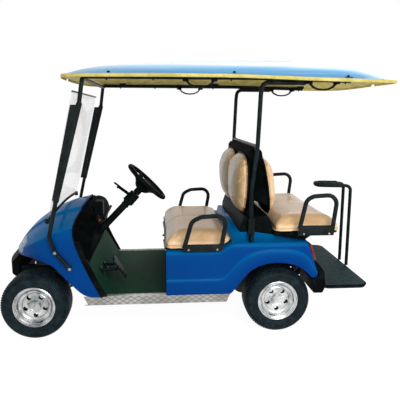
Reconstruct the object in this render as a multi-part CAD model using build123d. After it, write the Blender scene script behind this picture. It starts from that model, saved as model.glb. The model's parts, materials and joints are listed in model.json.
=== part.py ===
from build123d import *
import math
import os

# Four-seat electric golf cart. X runs rearwards from the front axle, Y to the cart's right, Z up from the ground.
# Every piece is drawn in that frame in millimetres and shifted by origin_x when it is written out.

# wheels and axles
wheelbase = 1670
wheel_y = 477
tyre_radius = 230
tyre_width = 205
rim_radius = 127
rim_lip_radius = 139
hole_circle = 68
kingpin_y = 345
kingpin_radius = 10
spindle_radius = 17
running_gap = 0.05
steer_arm = 110
steer_arm_z = 174
axle_beam = 50

# frame
rail_y = 230
rail_width = 40
rail_height = 50
rail_high_z = 400
rail_rear_z = 395
rail_low_z = 257
rail_front_x = -165
rail_rear_x = wheelbase + 220

# floor and sills
floor_z = 282
floor_sheet = 10
mat_sheet = 6
floor_half_width = 558
sill_y = 577
sill_height = 62
sill_plate = 4
sill_flange = 42
sill_bottom_x = (362, wheelbase - 363)
sill_top_x = (332, wheelbase - 335)

# front body
body_half_width = 600
panel_wall = 8
nose_bottom_z = 528
bumper_front_x = -270
bumper_half_width = 275
bumper_radius = 750
bumper_bottom_z = 355
lamp_y = (190, 390)
lamp_z = (556, 640)

# rear body
base_front_x = wheelbase - 778
base_top_z = 600
deck_z = 652
bay_x = (base_front_x + 33, base_front_x + 333)
bay_half_width = 470
arch_points = ((-213, 451), (7, 514), (235, 394))  # from the rear axle
flare_proud = 10
hump_half_width = 505
hump_line = ((-302, 712), (-170, 712), (196, deck_z))  # top of the hump, from the rear axle
lamp_heights = (524, 634)

# seats
cushion_half_width = 550
front_cushion_x = (base_front_x - 12, base_front_x + 451)
front_cushion_z = (612, 724)
rear_cushion_x = (wheelbase - 38, wheelbase + 438)
rear_cushion_z = (720, 828)
seat_sheet = 8
seat_gap = 4
hinge_x = base_front_x - 11
hinge_z = 602
hinge_y = 300
hinge_pin_radius = 4
pad_y = (18, 530)
pad_z = (834, 1250)
pad_x = (wheelbase - 308, wheelbase - 214)
riser_top_z = 824
support_y = 530
support_radius = 15

# canopy
roof_x = (184, wheelbase + 840)
roof_half_width = 622
roof_rim_z = 1738
roof_rim_height = 24
brim_width = 40
roof_wall = 6
windscreen_line = ((116, 800), (312, 1655))
windscreen_half_width = 556
windscreen_sheet = 5
roof_rail_y = 552
post_top_z = 1722
pillar_radius = 14

# steering
column_y = -280
column_angle = 46
wheel_hub = (762.5, 1040)
column_radius = 22
steering_wheel_radius = 162
steering_rim_radius = 13
shaft_radius = 10
seat_clearance = 0.2

# rear step
step_x = (wheelbase + 333, wheelbase + 665)
step_half_width = 530
step_top_z = 320
step_sheet = 28
post_y = 74
post_radius = 12.5
grip_x = (wheelbase + 426, wheelbase + 624)
grip_z = 971

origin_x = (bumper_front_x + roof_x[1]) / 2


def prism(points, y0, y1):
    """Solid with an XZ outline, from y0 to y1."""
    return Pos(0, y0, 0) * extrude(Plane.XZ * Polygon(*points, align=None), amount=y1 - y0, dir=(0, 1, 0))


def box(x, y, z):
    """Box from three (low, high) pairs."""
    size = [high - low for low, high in (x, y, z)]
    return Pos(x[0], y[0], z[0]) * Box(*size, align=(Align.MIN, Align.MIN, Align.MIN))


def rod(start, end, radius):
    """Round bar between two points."""
    axis = Vector(*end) - Vector(*start)
    return extrude(Plane(origin=start, z_dir=axis) * Circle(radius), amount=axis.length)


def tube(points, radius, bend):
    """Bent round bar through the points, with one bend radius."""
    path = FilletPolyline(*points, radius=bend)
    return sweep(Plane(origin=path @ 0, z_dir=path % 0) * Circle(radius), path=path)


def shifted(points, distance):
    """The XZ line moved sideways, to the right of its travel, with mitred corners."""
    normals = []
    for (x0, z0), (x1, z1) in zip(points, points[1:]):
        length = math.hypot(x1 - x0, z1 - z0)
        normals.append(((z1 - z0) / length, -(x1 - x0) / length))
    moved = []
    for i, (x, z) in enumerate(points):
        a = normals[max(i - 1, 0)]
        b = normals[min(i, len(normals) - 1)]
        share = distance / (1 + a[0] * b[0] + a[1] * b[1])
        moved.append((x + (a[0] + b[0]) * share, z + (a[1] + b[1]) * share))
    return moved


def aft(points):
    """XZ points given from the rear axle, moved to the cart's frame."""
    return [(wheelbase + x, z) for x, z in points]


def band(points, thickness):
    """XZ outline of a bent sheet between the line and the line moved to its right."""
    return list(points) + shifted(points, thickness)[::-1]


def both(solid):
    """The solid and its mirror image across the centre plane."""
    return solid + mirror(solid, about=Plane.XZ)


def mirrored(solid, side):
    """side -1 keeps a left-hand solid, side 1 gives its right-hand twin."""
    return mirror(solid, about=Plane.XZ) if side > 0 else solid


# ---- wheels, all drawn at the left side with the axle through the origin, outside towards -Y

def tyre():
    half = tyre_width / 2
    shoulder = 26
    # radius, distance outwards from the wheel's centre plane
    left = ((rim_radius + 1, half - 14), (rim_radius + 14, half - 3), (tyre_radius - 52, half),
            (tyre_radius - shoulder, half - 6), (tyre_radius - 6, half - shoulder), (tyre_radius, half - 42))
    outline = [(r, -y) for r, y in left] + [(r, y) for r, y in reversed(left)]
    face = Plane.XY * Polygon(*outline, align=None)
    return revolve(face, Axis.Y)


def rim():
    half = tyre_width / 2
    bore = spindle_radius + running_gap
    # radius, Y: the seat of the tyre, then the inside of the barrel, the hub, and the dished face outwards
    outline = ((rim_lip_radius, -half - 6), (rim_lip_radius, -half + 4), (rim_radius, -half + 14),
               (rim_radius, half - 14), (rim_lip_radius, half - 4), (rim_lip_radius, half), (rim_radius - 4, half - 6),
               (rim_radius - 8, -20), (90, -36), (40, -36), (40, 0), (bore, 0), (bore, -58), (36, -58), (88, -48),
               (rim_radius - 8, -half + 12), (rim_radius - 4, -half - 2))
    wheel = revolve(Plane.XY * Polygon(*outline, align=None), Axis.Y)
    cap = Pos(0, -56, 0) * extrude(Plane.XZ * Circle(36), amount=22)
    cap = chamfer(cap.edges().group_by(Axis.Y)[0], 8)
    hole = Pos(0, 0, -hole_circle) * extrude(Plane.XZ * Circle(17), amount=120, both=True)
    return wheel + cap - [Rot(0, 72 * i, 0) * hole for i in range(5)]


# ---- steering knuckle, left: fork round the beam's eye, spindle outwards, arm rearwards

def knuckle():
    y = -kingpin_y
    z = tyre_radius
    fork_half = 62
    fork_gap = axle_beam / 2 + 25
    plate = box((-28, 28), (y - 46, y - 34), (z - fork_half, z + fork_half))
    arms = [box((-24, 24), (y - 36, y + 20), (z + s - 6, z + s + 6)) for s in (-(fork_gap + 6), fork_gap + 6)]
    pin = Pos(0, y, z) * Cylinder(kingpin_radius, 2 * fork_gap + 24)
    spindle = rod((0, y - 40, z), (0, -wheel_y - 20, z), spindle_radius)
    arm = box((0, steer_arm), (y - 14, y + 14), (steer_arm_z - 6, steer_arm_z + 6))
    arm += Pos(steer_arm, y, steer_arm_z) * Cylinder(14, 12)
    stud = Pos(steer_arm, y, steer_arm_z - 21) * Cylinder(6, 32)
    return plate + arms + pin + spindle + arm + stud


def tie_rod():
    z = steer_arm_z - 23
    bar = rod((steer_arm, -kingpin_y + 8, z), (steer_arm, kingpin_y - 8, z), 9)
    eyes = both(Pos(steer_arm, -kingpin_y, z) * Cylinder(14, 20))
    pins = both(Pos(steer_arm, -kingpin_y, z) * Cylinder(6 + running_gap, 60))
    return bar + eyes - pins


def front_axle():
    z = tyre_radius
    half = axle_beam / 2
    beam = box((-half, half), (-kingpin_y + 16, kingpin_y - 16), (z - half, z + half))
    eyes = both(Pos(0, -kingpin_y, z) * Cylinder(25, axle_beam + 40))
    bores = both(Pos(0, -kingpin_y, z) * Cylinder(kingpin_radius + running_gap, 200))
    pads = both(box((-45, 45), (-rail_y - 30, -rail_y + 30), (z + half, z + half + 12)))
    return beam + pads + eyes - bores


def rear_axle():
    z = tyre_radius
    tube_end = kingpin_y + 10
    housing = rod((wheelbase, -tube_end, z), (wheelbase, tube_end, z), 35)
    flanges = both(rod((wheelbase, -tube_end + 2, z), (wheelbase, -tube_end + 14, z), 52))
    stubs = both(rod((wheelbase, -tube_end, z), (wheelbase, -wheel_y - 20, z), spindle_radius))
    case = Pos(wheelbase - 20, 60, z) * Sphere(98)
    pads = both(box((wheelbase - 50, wheelbase + 50), (-rail_y - 30, -rail_y + 30), (z + 30, z + 47)))
    return housing + flanges + stubs + case + pads


def drive_motor():
    z = tyre_radius + 8
    body = rod((wheelbase - 190, -210, z), (wheelbase - 190, 40, z), 80)
    foot = box((wheelbase - 130, wheelbase - 100), (0, 40), (z - 40, z + 40))
    return body + foot - (Pos(wheelbase - 20, 60, tyre_radius) * Sphere(98))


def leaf_springs():
    springs = []
    # axle x, seat z under the leaf, rail centre z, half length
    for x, seat, rail, half in ((0, tyre_radius + axle_beam / 2 + 12, rail_high_z, 148),
                                (wheelbase, tyre_radius + 47, rail_rear_z, 200)):
        under_rail = rail - rail_height / 2
        eye = under_rail - 28
        line = ((x + half, eye), (x + half / 2, seat + 14), (x + 40, seat), (x - 40, seat), (x - half / 2, seat + 14),
                (x - half, eye))
        leaf = prism(band(line, 12), -rail_y - 25, -rail_y + 25)
        hangers = [box((x + s * half - 10, x + s * half + 10), (-rail_y - 18, -rail_y + 18), (eye, under_rail))
                   for s in (-1, 1)]
        springs.append(both(leaf + hangers))
    return springs[0] + springs[1]


# ---- frame

def frame_rails():
    line = [(rail_front_x, rail_high_z), (190, rail_high_z), (345, rail_low_z)]
    line += aft(((-380, rail_low_z), (-270, rail_rear_z))) + [(rail_rear_x, rail_rear_z)]
    half = rail_height / 2
    outline = [(x, z + half) for x, z in line] + [(x, z - half) for x, z in reversed(line)]
    return both(prism(outline, -rail_y - rail_width / 2, -rail_y + rail_width / 2))


def cross_members():
    half = rail_height / 2
    inner = rail_y - rail_width / 2
    outer = rail_y + rail_width / 2
    middles = []
    arms = []
    # x, z, half width of each cross-member
    for x, z, reach in ((rail_front_x + 25, rail_high_z, inner), (430, rail_low_z, floor_half_width),
                        (wheelbase - 870, rail_low_z, floor_half_width),
                        (wheelbase - 430, rail_low_z, floor_half_width), (rail_rear_x - 30, rail_rear_z, inner)):
        middles.append(box((x - 20, x + 20), (-inner, inner), (z - 20, z + half)))
        if reach > outer:
            arms.append(both(box((x - 20, x + 20), (-reach, -outer), (z - 20, z + half))))
    tray = box((bay_x[0] - 10, bay_x[1] + 30), (-inner, inner), (rail_low_z + half - 4, rail_low_z + half))
    tongue = box((rail_front_x - 50, rail_front_x + 30), (-40, 40), (bumper_bottom_z - 20, bumper_bottom_z - 8))
    hanger = box((rail_front_x + 5, rail_front_x + 30), (-40, 40), (bumper_bottom_z - 20, rail_high_z))
    eye = Pos(rail_front_x - 30, 0, bumper_bottom_z - 14) * Cylinder(10, 40)
    middles[0] = middles[0] + tongue + hanger - eye
    middles[3] = middles[3] + tray
    return middles[0] + middles[1:] + arms


def step_frame():
    bar_z = step_top_z - step_sheet - 13
    line = [(rail_rear_x, rail_rear_z - 12)] + aft(((260, 330), (320, bar_z))) + [(step_x[1] - 30, bar_z)]
    outline = [(x, z + 13) for x, z in line] + [(x, z - 13) for x, z in reversed(line)]
    arms = both(prism(outline, -rail_y - 18, -rail_y + 18))
    cross = box((step_x[1] - 70, step_x[1] - 30), (-rail_y - 100, rail_y + 100), (bar_z - 13, bar_z + 13))
    return arms + cross


def battery_pack():
    reach = rail_y - rail_width / 2 - 2
    return box((bay_x[0] + 5, bay_x[1] + 15), (-reach, reach), (rail_low_z + rail_height / 2, 540))


# ---- floor

# underside of the floor and the toe board, rear to front
floor_line = ((base_front_x, floor_z), (470, floor_z), (352, 500))
mat_line = shifted(floor_line, floor_sheet)


def floor_pan():
    return prism(band(floor_line, floor_sheet), -floor_half_width, floor_half_width)


def floor_mat():
    return prism(band(mat_line, mat_sheet), -floor_half_width + 23, floor_half_width - 23)


def sill_plates():
    top = floor_z + 16
    low = top - sill_height
    outline = ((sill_bottom_x[0], low), (sill_bottom_x[1], low), (sill_top_x[1], top), (sill_top_x[0], top))
    side = prism(outline, -sill_y, -sill_y + sill_plate)
    flange = box((480, base_front_x - 4), (-sill_y, -sill_y + sill_flange), (top - sill_plate, top))
    return both(side + flange)


# ---- front body

# x, half width, side bottom z, shoulder z, crown z, shoulder radius
cowl_sections = ((-205, 90, 500, 543, 552, 6), (-188, 205, 500, 556, 585, 14), (-150, 310, 500, 575, 636, 30),
                 (-100, 400, 500, 600, 690, 45), (-50, 472, 480, 632, 730, 55), (0, 528, 440, 668, 766, 60),
                 (70, 578, 400, 712, 806, 60), (150, 596, 350, 764, 846, 60), (285, 600, 300, 822, 888, 60),
                 (345, 600, 298, 840, 905, 60), (470, 600, 298, 868, 930, 60))
cowl_rear_edge = ((456, 298), (339, 544), (283, 697), (287, 830), (345, 915), (345, 960))
fender_edge = ((-150, nose_bottom_z), (-50, 560), (59, 551), (142, 528), (228, 422), (279, 371), (336, 298))


def cowl_solid(inset):
    faces = []
    for x, half, bottom, shoulder, crown, radius in cowl_sections:
        w = half - inset
        drop = 60 if inset else 0
        edge = [Line((-w, bottom - drop), (-w, shoulder - inset)),
                ThreePointArc((-w, shoulder - inset), (0, crown - inset), (w, shoulder - inset)),
                Line((w, shoulder - inset), (w, bottom - drop)),
                Line((w, bottom - drop), (-w, bottom - drop))]
        face = make_face(edge)
        corners = face.vertices().group_by(Axis.Y)[-1]
        face = fillet(corners, max(radius - inset, radius / 2))
        faces.append(Plane(origin=(x + inset, 0, 0), x_dir=(0, 1, 0), z_dir=(1, 0, 0)) * face)
    return loft(faces, ruled=True)


def front_body():
    """Cowl and the two lamp lenses cut from its nose."""
    rear = list(cowl_rear_edge) + [(700, 960), (700, 100), (456, 100)]
    below = [(-400, nose_bottom_z)] + list(fender_edge) + [(336, 0), (-400, 0)]
    shell = cowl_solid(0) - cowl_solid(panel_wall)
    shell -= prism(rear, -700, 700)
    shell -= prism(below, -700, 700)
    window = Pos(-230, sum(lamp_y) / 2, sum(lamp_z) / 2) * extrude(
        Plane.YZ * RectangleRounded(lamp_y[1] - lamp_y[0], lamp_z[1] - lamp_z[0], 30), amount=200)
    windows = both(window)
    return shell - windows, shell & windows


def front_bumper():
    reach = bumper_half_width
    side_x = bumper_front_x + bumper_radius - math.sqrt(bumper_radius ** 2 - reach ** 2)
    plan = make_face([ThreePointArc((side_x, -reach), (bumper_front_x, 0), (side_x, reach)),
                      Line((side_x, reach), (rail_front_x, reach)),
                      Line((rail_front_x, reach), (rail_front_x, -reach)),
                      Line((rail_front_x, -reach), (side_x, -reach))])
    bar = Pos(0, 0, bumper_bottom_z) * extrude(plan, amount=nose_bottom_z - bumper_bottom_z)
    front_top = bar.edges().filter_by(GeomType.CIRCLE).sort_by(Axis.Z)
    bar = chamfer(front_top[-1], 70, 60)
    return chamfer(bar.edges().filter_by(GeomType.CIRCLE).sort_by(Axis.Z)[0], 18)


def dash():
    line = ((330, 889), (372, 893), (420, 866), (441, 790), (438, 740), (400, 620), (356, 505))
    half = body_half_width - panel_wall - seat_clearance
    panel = prism(band(line, 10), -half, half)
    side = ((436, 298), (319, 544), (263, 697), (268, 748), (292, 764), (298, 830), (322, 876)) + line[:-1]
    side += ((362, 510), (478, 298))
    panel += both(prism(side, -half + 1, -half + 8))
    pod = prism(((400, 800), (400, 912), (436, 912), (452, 800)), column_y - 45, column_y + 45)
    hole = rod(column_point(-120), column_point(-560), column_radius + seat_clearance)
    return panel + pod - hole


# ---- steering

def column_point(along):
    """Point on the steering axis, a distance along it from the steering wheel's centre."""
    a = math.radians(column_angle)
    return (wheel_hub[0] + along * math.cos(a), column_y, wheel_hub[1] + along * math.sin(a))


def steering_column():
    outer = rod(column_point(-525), column_point(-132), column_radius)
    collar = rod(column_point(-205), column_point(-120), 37)
    bore = rod(column_point(-200), column_point(-100), shaft_radius + running_gap)
    x, y, z = column_point(-165)
    lever = rod((x - 20, y + 20, z + 20), (x - 92, y - 10, z + 82), 5) + Pos(x - 92, y - 10, z + 82) * Sphere(9)
    return outer + collar + lever - bore


def steering_wheel():
    plane = Plane(origin=column_point(0), x_dir=(0, 1, 0), z_dir=Vector(*column_point(1)) - Vector(*column_point(0)))
    ring = Torus(steering_wheel_radius, steering_rim_radius)
    hub = Pos(0, 0, -50) * Cylinder(36, 50, align=(Align.CENTER, Align.CENTER, Align.MIN))
    neck = Pos(0, 0, -112) * Cylinder(26, 70, align=(Align.CENTER, Align.CENTER, Align.MIN))
    shaft = Pos(0, 0, -195) * Cylinder(shaft_radius, 100, align=(Align.CENTER, Align.CENTER, Align.MIN))
    wheel = ring + hub + neck + shaft
    for turn in (30, 150, 270):
        a = math.radians(turn)
        rim_point = (steering_wheel_radius * math.cos(a), steering_wheel_radius * math.sin(a), 0)
        hub_point = (20 * math.cos(a), 20 * math.sin(a), -26)
        wheel += rod(hub_point, rim_point, 10)
    return plane * wheel


def pedals():
    toe = shifted(mat_line, mat_sheet)
    slope = (toe[2][0] - toe[1][0], toe[2][1] - toe[1][1])
    solids = []
    # y of the pedal, half width, plate bottom and top in XZ, share of the toe board's height at its foot
    for y, half, low, high, share in ((-330, 45, (602, 352), (512, 474), 0.5),
                                      (-170, 32, (560, 340), (492, 452), 0.42)):
        plate = prism(band((low, high), 10), y - half, y + half)
        foot = [(toe[1][0] + slope[0] * t, toe[1][1] + slope[1] * t) for t in (share - 0.12, share + 0.12)]
        middle = ((low[0] + high[0]) / 2 + 3, (low[1] + high[1]) / 2 + 3)
        root = ((foot[0][0] + foot[1][0]) / 2 + 4, (foot[0][1] + foot[1][1]) / 2 + 4)
        lever = rod((middle[0], y, middle[1]), (root[0], y, root[1]), 7)
        solids.append(plate + lever + prism(band(foot, 12), y - 20, y + 20))
    toe_board = prism(band((toe[1], toe[2]), -60), -600, 600)
    return Compound(children=[solid - toe_board for solid in solids])


# ---- rear body

body_outline = [(base_front_x, 298), (base_front_x, base_top_z)] + aft(
    ((-430, base_top_z), (-318, deck_z), (202, deck_z), (280, 416), (235, 394), (235, 298)))


def rear_edge_x(z):
    """X of the slanting rear face at a height."""
    (top_x, top_z), (low_x, low_z) = body_outline[4], body_outline[5]
    return low_x + (top_x - low_x) * (z - low_z) / (top_z - low_z)


def rear_body():
    outer = body_half_width - flare_proud
    shell = prism(body_outline, -outer, outer)
    inset = panel_wall
    inner = [(base_front_x + inset, 200), (base_front_x + inset, base_top_z - inset)] + aft(
        ((-427, base_top_z - inset), (-316, deck_z - inset), (196, deck_z - inset), (271, 420), (226, 398),
         (226, 200)))
    cavity = prism(inner, -outer + inset, outer - inset)
    flare_line = [(base_front_x, 298), (base_front_x, 396)] + aft(
        ((-404, 380), (-318, 484), (-222, 567), (-96, 605), (30, 600), (120, 566), (190, 500), (228, 402),
         (228, 298)))
    flare = both(prism(flare_line, -body_half_width, -outer + inset / 2))
    hump = prism(aft(((-318, 640),) + hump_line + ((196, 640),)), -hump_half_width, hump_half_width)
    hollow = hump_half_width - inset
    hump_cavity = prism(aft(((-308, 600), (-294, 704), (-171, 704), (160, 650), (160, 600))), -hollow, hollow)
    start, top, end = aft(arch_points)
    foot, back = aft(((-334, 298), (260, 298)))
    deep = 100
    arch = make_face([Line(foot, start), ThreePointArc(start, top, end), Line(end, back), Line(back, (back[0], deep)),
                      Line((back[0], deep), (foot[0], deep)), Line((foot[0], deep), foot)])
    arch = Pos(0, -700, 0) * extrude(Plane.XZ * arch, amount=1400, dir=(0, 1, 0))
    bay = box(bay_x, (-bay_half_width, bay_half_width), (500, 700))
    return shell + flare + hump - cavity - hump_cavity - arch - bay


def rear_bumper():
    outline = aft(((233, 388), (281.5, 411.5), (253, 506), (268, 510), (320, 440), (330, 335), (310, 290),
                   (245, 290)))
    bar = prism(outline, -body_half_width, body_half_width)
    tunnel = both(box((wheelbase + 210, wheelbase + 340), (-rail_y - 26, -rail_y + 26), (200, 450)))
    return bar - tunnel


def tail_lamps():
    slope = [(rear_edge_x(z) + seat_clearance, z) for z in lamp_heights]
    return both(prism(band(slope, 14), -585, -500))


def direction_switch():
    plate = box((base_front_x - 4, base_front_x), (-30, 30), (540, 592))
    return plate + rod((base_front_x - 4, 0, 568), (base_front_x - 22, 0, 574), 8)


# ---- seats

def front_seat_pan():
    low = base_top_z + seat_gap
    line = [(hinge_x, low)] + aft(((-432, low), (-321, low + 56)))
    pan = prism(band(line[::-1], seat_sheet), -cushion_half_width + 30, cushion_half_width - 30)
    barrels = both(rod((hinge_x, -hinge_y - 25, hinge_z), (hinge_x, -hinge_y + 25, hinge_z), 8))
    notch = both(box((hinge_x - 20, hinge_x + 16), (-hinge_y - 46, -hinge_y + 46), (hinge_z - 10, low + 30)))
    tongue = both(box((hinge_x - 2, hinge_x + 17), (-hinge_y - 25, -hinge_y + 25), (low, low + seat_sheet)))
    bore = hinge_pin_radius + running_gap
    pins = both(rod((hinge_x, -hinge_y - 60, hinge_z), (hinge_x, -hinge_y + 60, hinge_z), bore))
    return pan - notch + tongue + barrels - pins


def seat_hinges():
    leaf = box((hinge_x + 5, base_front_x), (-hinge_y - 42, -hinge_y + 42), (545, hinge_z - 14))
    ears = [rod((hinge_x, -hinge_y + a, hinge_z), (hinge_x, -hinge_y + b, hinge_z), 8)
            + box((hinge_x - 4, hinge_x + 10), (-hinge_y + a, -hinge_y + b), (hinge_z - 30, hinge_z))
            for a, b in ((-42, -30), (30, 42))]
    pin = rod((hinge_x, -hinge_y - 42, hinge_z), (hinge_x, -hinge_y + 42, hinge_z), hinge_pin_radius)
    wall = box((base_front_x, base_front_x + 68), (-hinge_y - 80, -hinge_y + 80), (500, 700))
    return both(leaf + ears + pin - wall)


def front_cushion():
    x0, x1 = front_cushion_x
    z0, z1 = front_cushion_z
    outline = ((x0 + 22, z0), (x1 - 109, z0), (x1, z0 + 55), (x1 - 22, z1 - 20), (x1 - 90, z1), (x0 + 90, z1),
               (x0 + 12, z1 - 30), (x0, z0 + 46))
    return prism(outline, -cushion_half_width, cushion_half_width)


def rear_cushion():
    x0, x1 = rear_cushion_x
    z0, z1 = rear_cushion_z
    outline = ((x0 + 24, z0), (x1 - 22, z0), (x1, z0 + 40), (x1 - 20, z1 - 32), (x1 - 110, z1), (x0 + 60, z1),
               (x0, z1 - 20), (x0, z0 + 40))
    return prism(outline, -cushion_half_width, cushion_half_width)


def hump_z(x):
    """Height of the hump's sloping top at a distance behind the rear axle."""
    (top_x, top_z), (low_x, low_z) = hump_line[1:]
    return top_z + (low_z - top_z) * (x - top_x) / (low_x - top_x)


def rear_seat_pan():
    x1 = rear_cushion_x[1]
    z = rear_cushion_z[0]
    outline = aft(((-29, z), (-29, hump_z(-29)), (190, hump_z(190)), (235, 684))) + [(x1 - 20, 704), (x1 - 20, z)]
    return prism(outline, -520, 520)


def seat_riser():
    foot_z = hump_line[0][1]
    outline = ((-260, foot_z), (-266, riser_top_z), (-54, riser_top_z), (-34, hump_z(-34)), (-170, foot_z))
    shell = prism(aft(outline), -500, 500)
    inside = aft(((-250, 680), (-256, riser_top_z - 10), (-62, riser_top_z - 10), (-44, 680)))
    return shell - prism(inside, -490, 490)


def seat_back_shell():
    front = pad_x[1]
    outline = [(front, riser_top_z), (front, 1262)] + aft(
        ((-198, 1286), (-138, 1286), (-124, 1268), (-62, 892), (-170, 932), (-170, riser_top_z)))
    return prism(outline, -505, 505)


def pad_face():
    """Upright backrest outline, in (Y, Z)."""
    y0, y1 = pad_y
    z0, z1 = pad_z
    outline = Polygon((y0, z0 + 20), (y1 - 130, z0), (y1, z0 + 190), (y1, z1), (y0, z1), align=None)
    low_out = outline.vertices().sort_by_distance((y1, z0 + 190))[0]
    high_out = outline.vertices().sort_by_distance((y1, z1))[0]
    high_in = outline.vertices().sort_by_distance((y0, z1))[0]
    return fillet([low_out, high_out, high_in], 70)


def front_backrests():
    return both(Pos(pad_x[0], 0, 0) * extrude(Plane.YZ * pad_face(), amount=pad_x[1] - pad_x[0]))


def rear_backrests():
    low, high = aft(((-58, 890), (-125, 1270)))
    lean = math.degrees(math.atan2(low[0] - high[0], high[1] - low[1]))
    pad = extrude(Plane.YZ * (Pos(0, -pad_z[0], 0) * pad_face()), amount=58)
    return both(Pos(low[0] + 1, 0, low[1] + 2) * Rot(0, -lean, 0) * pad)


# corner points in XZ: bottom front, top front, top rear, bottom rear
armrest_loops = {"front": aft(((-634, 630), (-584, 806), (-380, 836), (-424, 630))),
                 "rear": aft(((150, 760), (203, 930), (370, 956), (333, 760)))}


def armrests(loop, plate_low, plate_high):
    y = -cushion_half_width - 42
    path = [(x, y, z) for x, z in loop]
    bar = tube(path, 15, 40)
    front, rear = loop[0][0], loop[3][0]
    outline = ((front - 16, plate_low), (rear - 8, plate_low), (rear + 14, plate_high), (front - 6, plate_high))
    plate = prism(outline, y - 10, y + 10)
    return both(bar + plate)


def armrest_stays(loop, z0, z1, inner_y):
    """Flat stays from the base plate inwards under the seat pan."""
    y = -cushion_half_width - 32
    return both(box((loop[0][0] + 20, loop[3][0] - 20), (y, -inner_y), (z0, z1)))


def front_armrests():
    loop = armrest_loops["front"]
    low = base_top_z + seat_gap + 3
    return armrests(loop, low, 655) + armrest_stays(loop, low, low + 5, cushion_half_width - 30)


def rear_armrests():
    loop = armrest_loops["rear"]
    return armrests(loop, 704, 780) + armrest_stays(loop, 706, 714, 520)


# ---- canopy

# x, z and distance from the centre plane, from the fender bolt up the pillar and back along the roof's edge
pillar_line = ((262, 506, 616), (168, 622, 616), (131, 727, 612), (186, 962, 604), (352, 1577, 574),
               (371, 1706, 566), (374, 1749, roof_rail_y), (wheelbase - 170, 1749, roof_rail_y))
rail_end = (wheelbase + 445, 1735)
# x of the brackets that hold the roof, of the clamps between rail and rear post, and of the hand straps
roof_brackets = (545, wheelbase - 330, wheelbase + 425)
rail_clamps = (wheelbase - 50, wheelbase + 110)
strap_places = (wheelbase - 550, wheelbase + 258)
pillar_bolts = ((168, 622), (258, 511))


def rail_z(x):
    """Height of the roof rail's centre line."""
    (knee_x, knee_z), (end_x, end_z) = pillar_line[-1][:2], rail_end
    return knee_z + (end_z - knee_z) * max(0, x - knee_x) / (end_x - knee_x)


def roof_rail(radius):
    """Sloping rear run of the roof rail, left side, plugged into the straight one."""
    plug_x, z, y = pillar_line[-1][0] - 12, pillar_line[-1][1], roof_rail_y
    return rod((plug_x, -y, z), (rail_end[0], -y, rail_end[1]), radius)


def front_roof_frame():
    pillar = tube([(x, -y, z) for x, z, y in pillar_line], pillar_radius, 22)
    foot, top = pillar_line[3], pillar_line[4]
    sleeve = rod((foot[0], -foot[2], foot[1]), (top[0], -top[2], top[1]), 20)
    glass = [(windscreen_x(z) + windscreen_sheet + 1, z) for z in (foot[1], top[1])]
    clamp = prism(glass + [(top[0], top[1]), (foot[0], foot[1])], -foot[2], -windscreen_half_width + 12)
    out = -pillar_line[0][2] - pillar_radius - 3
    bolts = [rod((x, -body_half_width - seat_clearance, z), (x, out, z), 10) for x, z in pillar_bolts]
    rail = roof_rail(pillar_radius - 0.6)
    near, far = -roof_rail_y - 18, -roof_rail_y + 18
    brackets = [box((x - 30, x + 30), (near, far), (rail_z(x), rail_z(x) + 90)) & roof_solid(roof_wall, 80)
                for x in roof_brackets]
    x, z, y = pillar_line[-2]
    header = rod((x, -y, z - 10), (x, y, z - 10), 12)
    return both(pillar + sleeve + clamp + bolts + rail + brackets) + header


def rear_roof_frame():
    y = support_y
    line = aft(((-192, deck_z), (-195, 1016), (-161, 1304), (-148, 1640), (-140, post_top_z), (148, post_top_z)))
    post = tube([(x, -y, z) for x, z in line], support_radius, 58)
    foot = box((wheelbase - 214, wheelbase - 170), (-y, -hump_half_width - 0.5), (700, 815))
    bar_x, bar_z = line[2]
    bar = rod((bar_x, -y, bar_z), (bar_x, y, bar_z), 12)
    below = box((wheelbase - 270, wheelbase - 70), (-700, 700), (500, deck_z + seat_clearance))
    rail = roof_rail(pillar_radius)
    clamps = [box((x - 18, x + 18), (-roof_rail_y, -y), (post_top_z - 6, rail_z(x))) - rail for x in rail_clamps]
    return both(post + foot + clamps) + bar - below


# x, half width, height of the brim's underside over roof_rim_z, crown height over the brim's top
roof_sections = [(roof_x[0] + x, roof_half_width + spread, lift, rise) for x, spread, lift, rise in (
    (0, -502, 14, 2), (8, -342, 13, 4), (20, -252, 12, 6), (38, -172, 10, 8), (68, -102, 7, 22),
    (108, -42, 5, 54), (201, -10, 4, 78))]
roof_sections += [(x, roof_half_width, lift, rise) for x, lift, rise in (
    (560, 5, 102), (900, 8, 120), (1300, 8, 132), (wheelbase - 170, 4, 140))]
roof_sections += [(roof_x[1] + x, roof_half_width + spread, lift, rise) for x, spread, lift, rise in (
    (-710, -1, -7, 154), (-430, -6, -13, 164), (-284, -13, -16, 153), (-165, -30, -16, 104), (-90, -66, -15, 66),
    (-48, -122, -13, 40), (-25, -192, -11, 14), (-10, -322, -9, 4), (0, -492, -7, 2))]


def roof_solid(inset, floor_drop):
    faces = []
    low_x, high_x = roof_x[0] + 2 * inset, roof_x[1] - 1.5 * inset
    for x, half, lift, rise in roof_sections:
        if not low_x <= x <= high_x:
            continue
        w = half - inset
        brim = w - brim_width
        low = roof_rim_z + lift
        edge_z = low + roof_rim_height - inset
        line = [(-w, low - floor_drop), (-w, edge_z), (-brim, edge_z + 2)]
        edges = [Line(line[0], line[1]), Line(line[1], line[2]),
                 ThreePointArc(line[2], (0, edge_z + 2 + rise), (brim, edge_z + 2)),
                 Line((brim, edge_z + 2), (w, edge_z)), Line((w, edge_z), (w, low - floor_drop)),
                 Line((w, low - floor_drop), line[0])]
        faces.append(Plane(origin=(x, 0, 0), x_dir=(0, 1, 0), z_dir=(1, 0, 0)) * make_face(edges))
    return loft(faces, ruled=True)


def roof():
    return roof_solid(0, 0) - roof_solid(roof_wall, 80)


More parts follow.
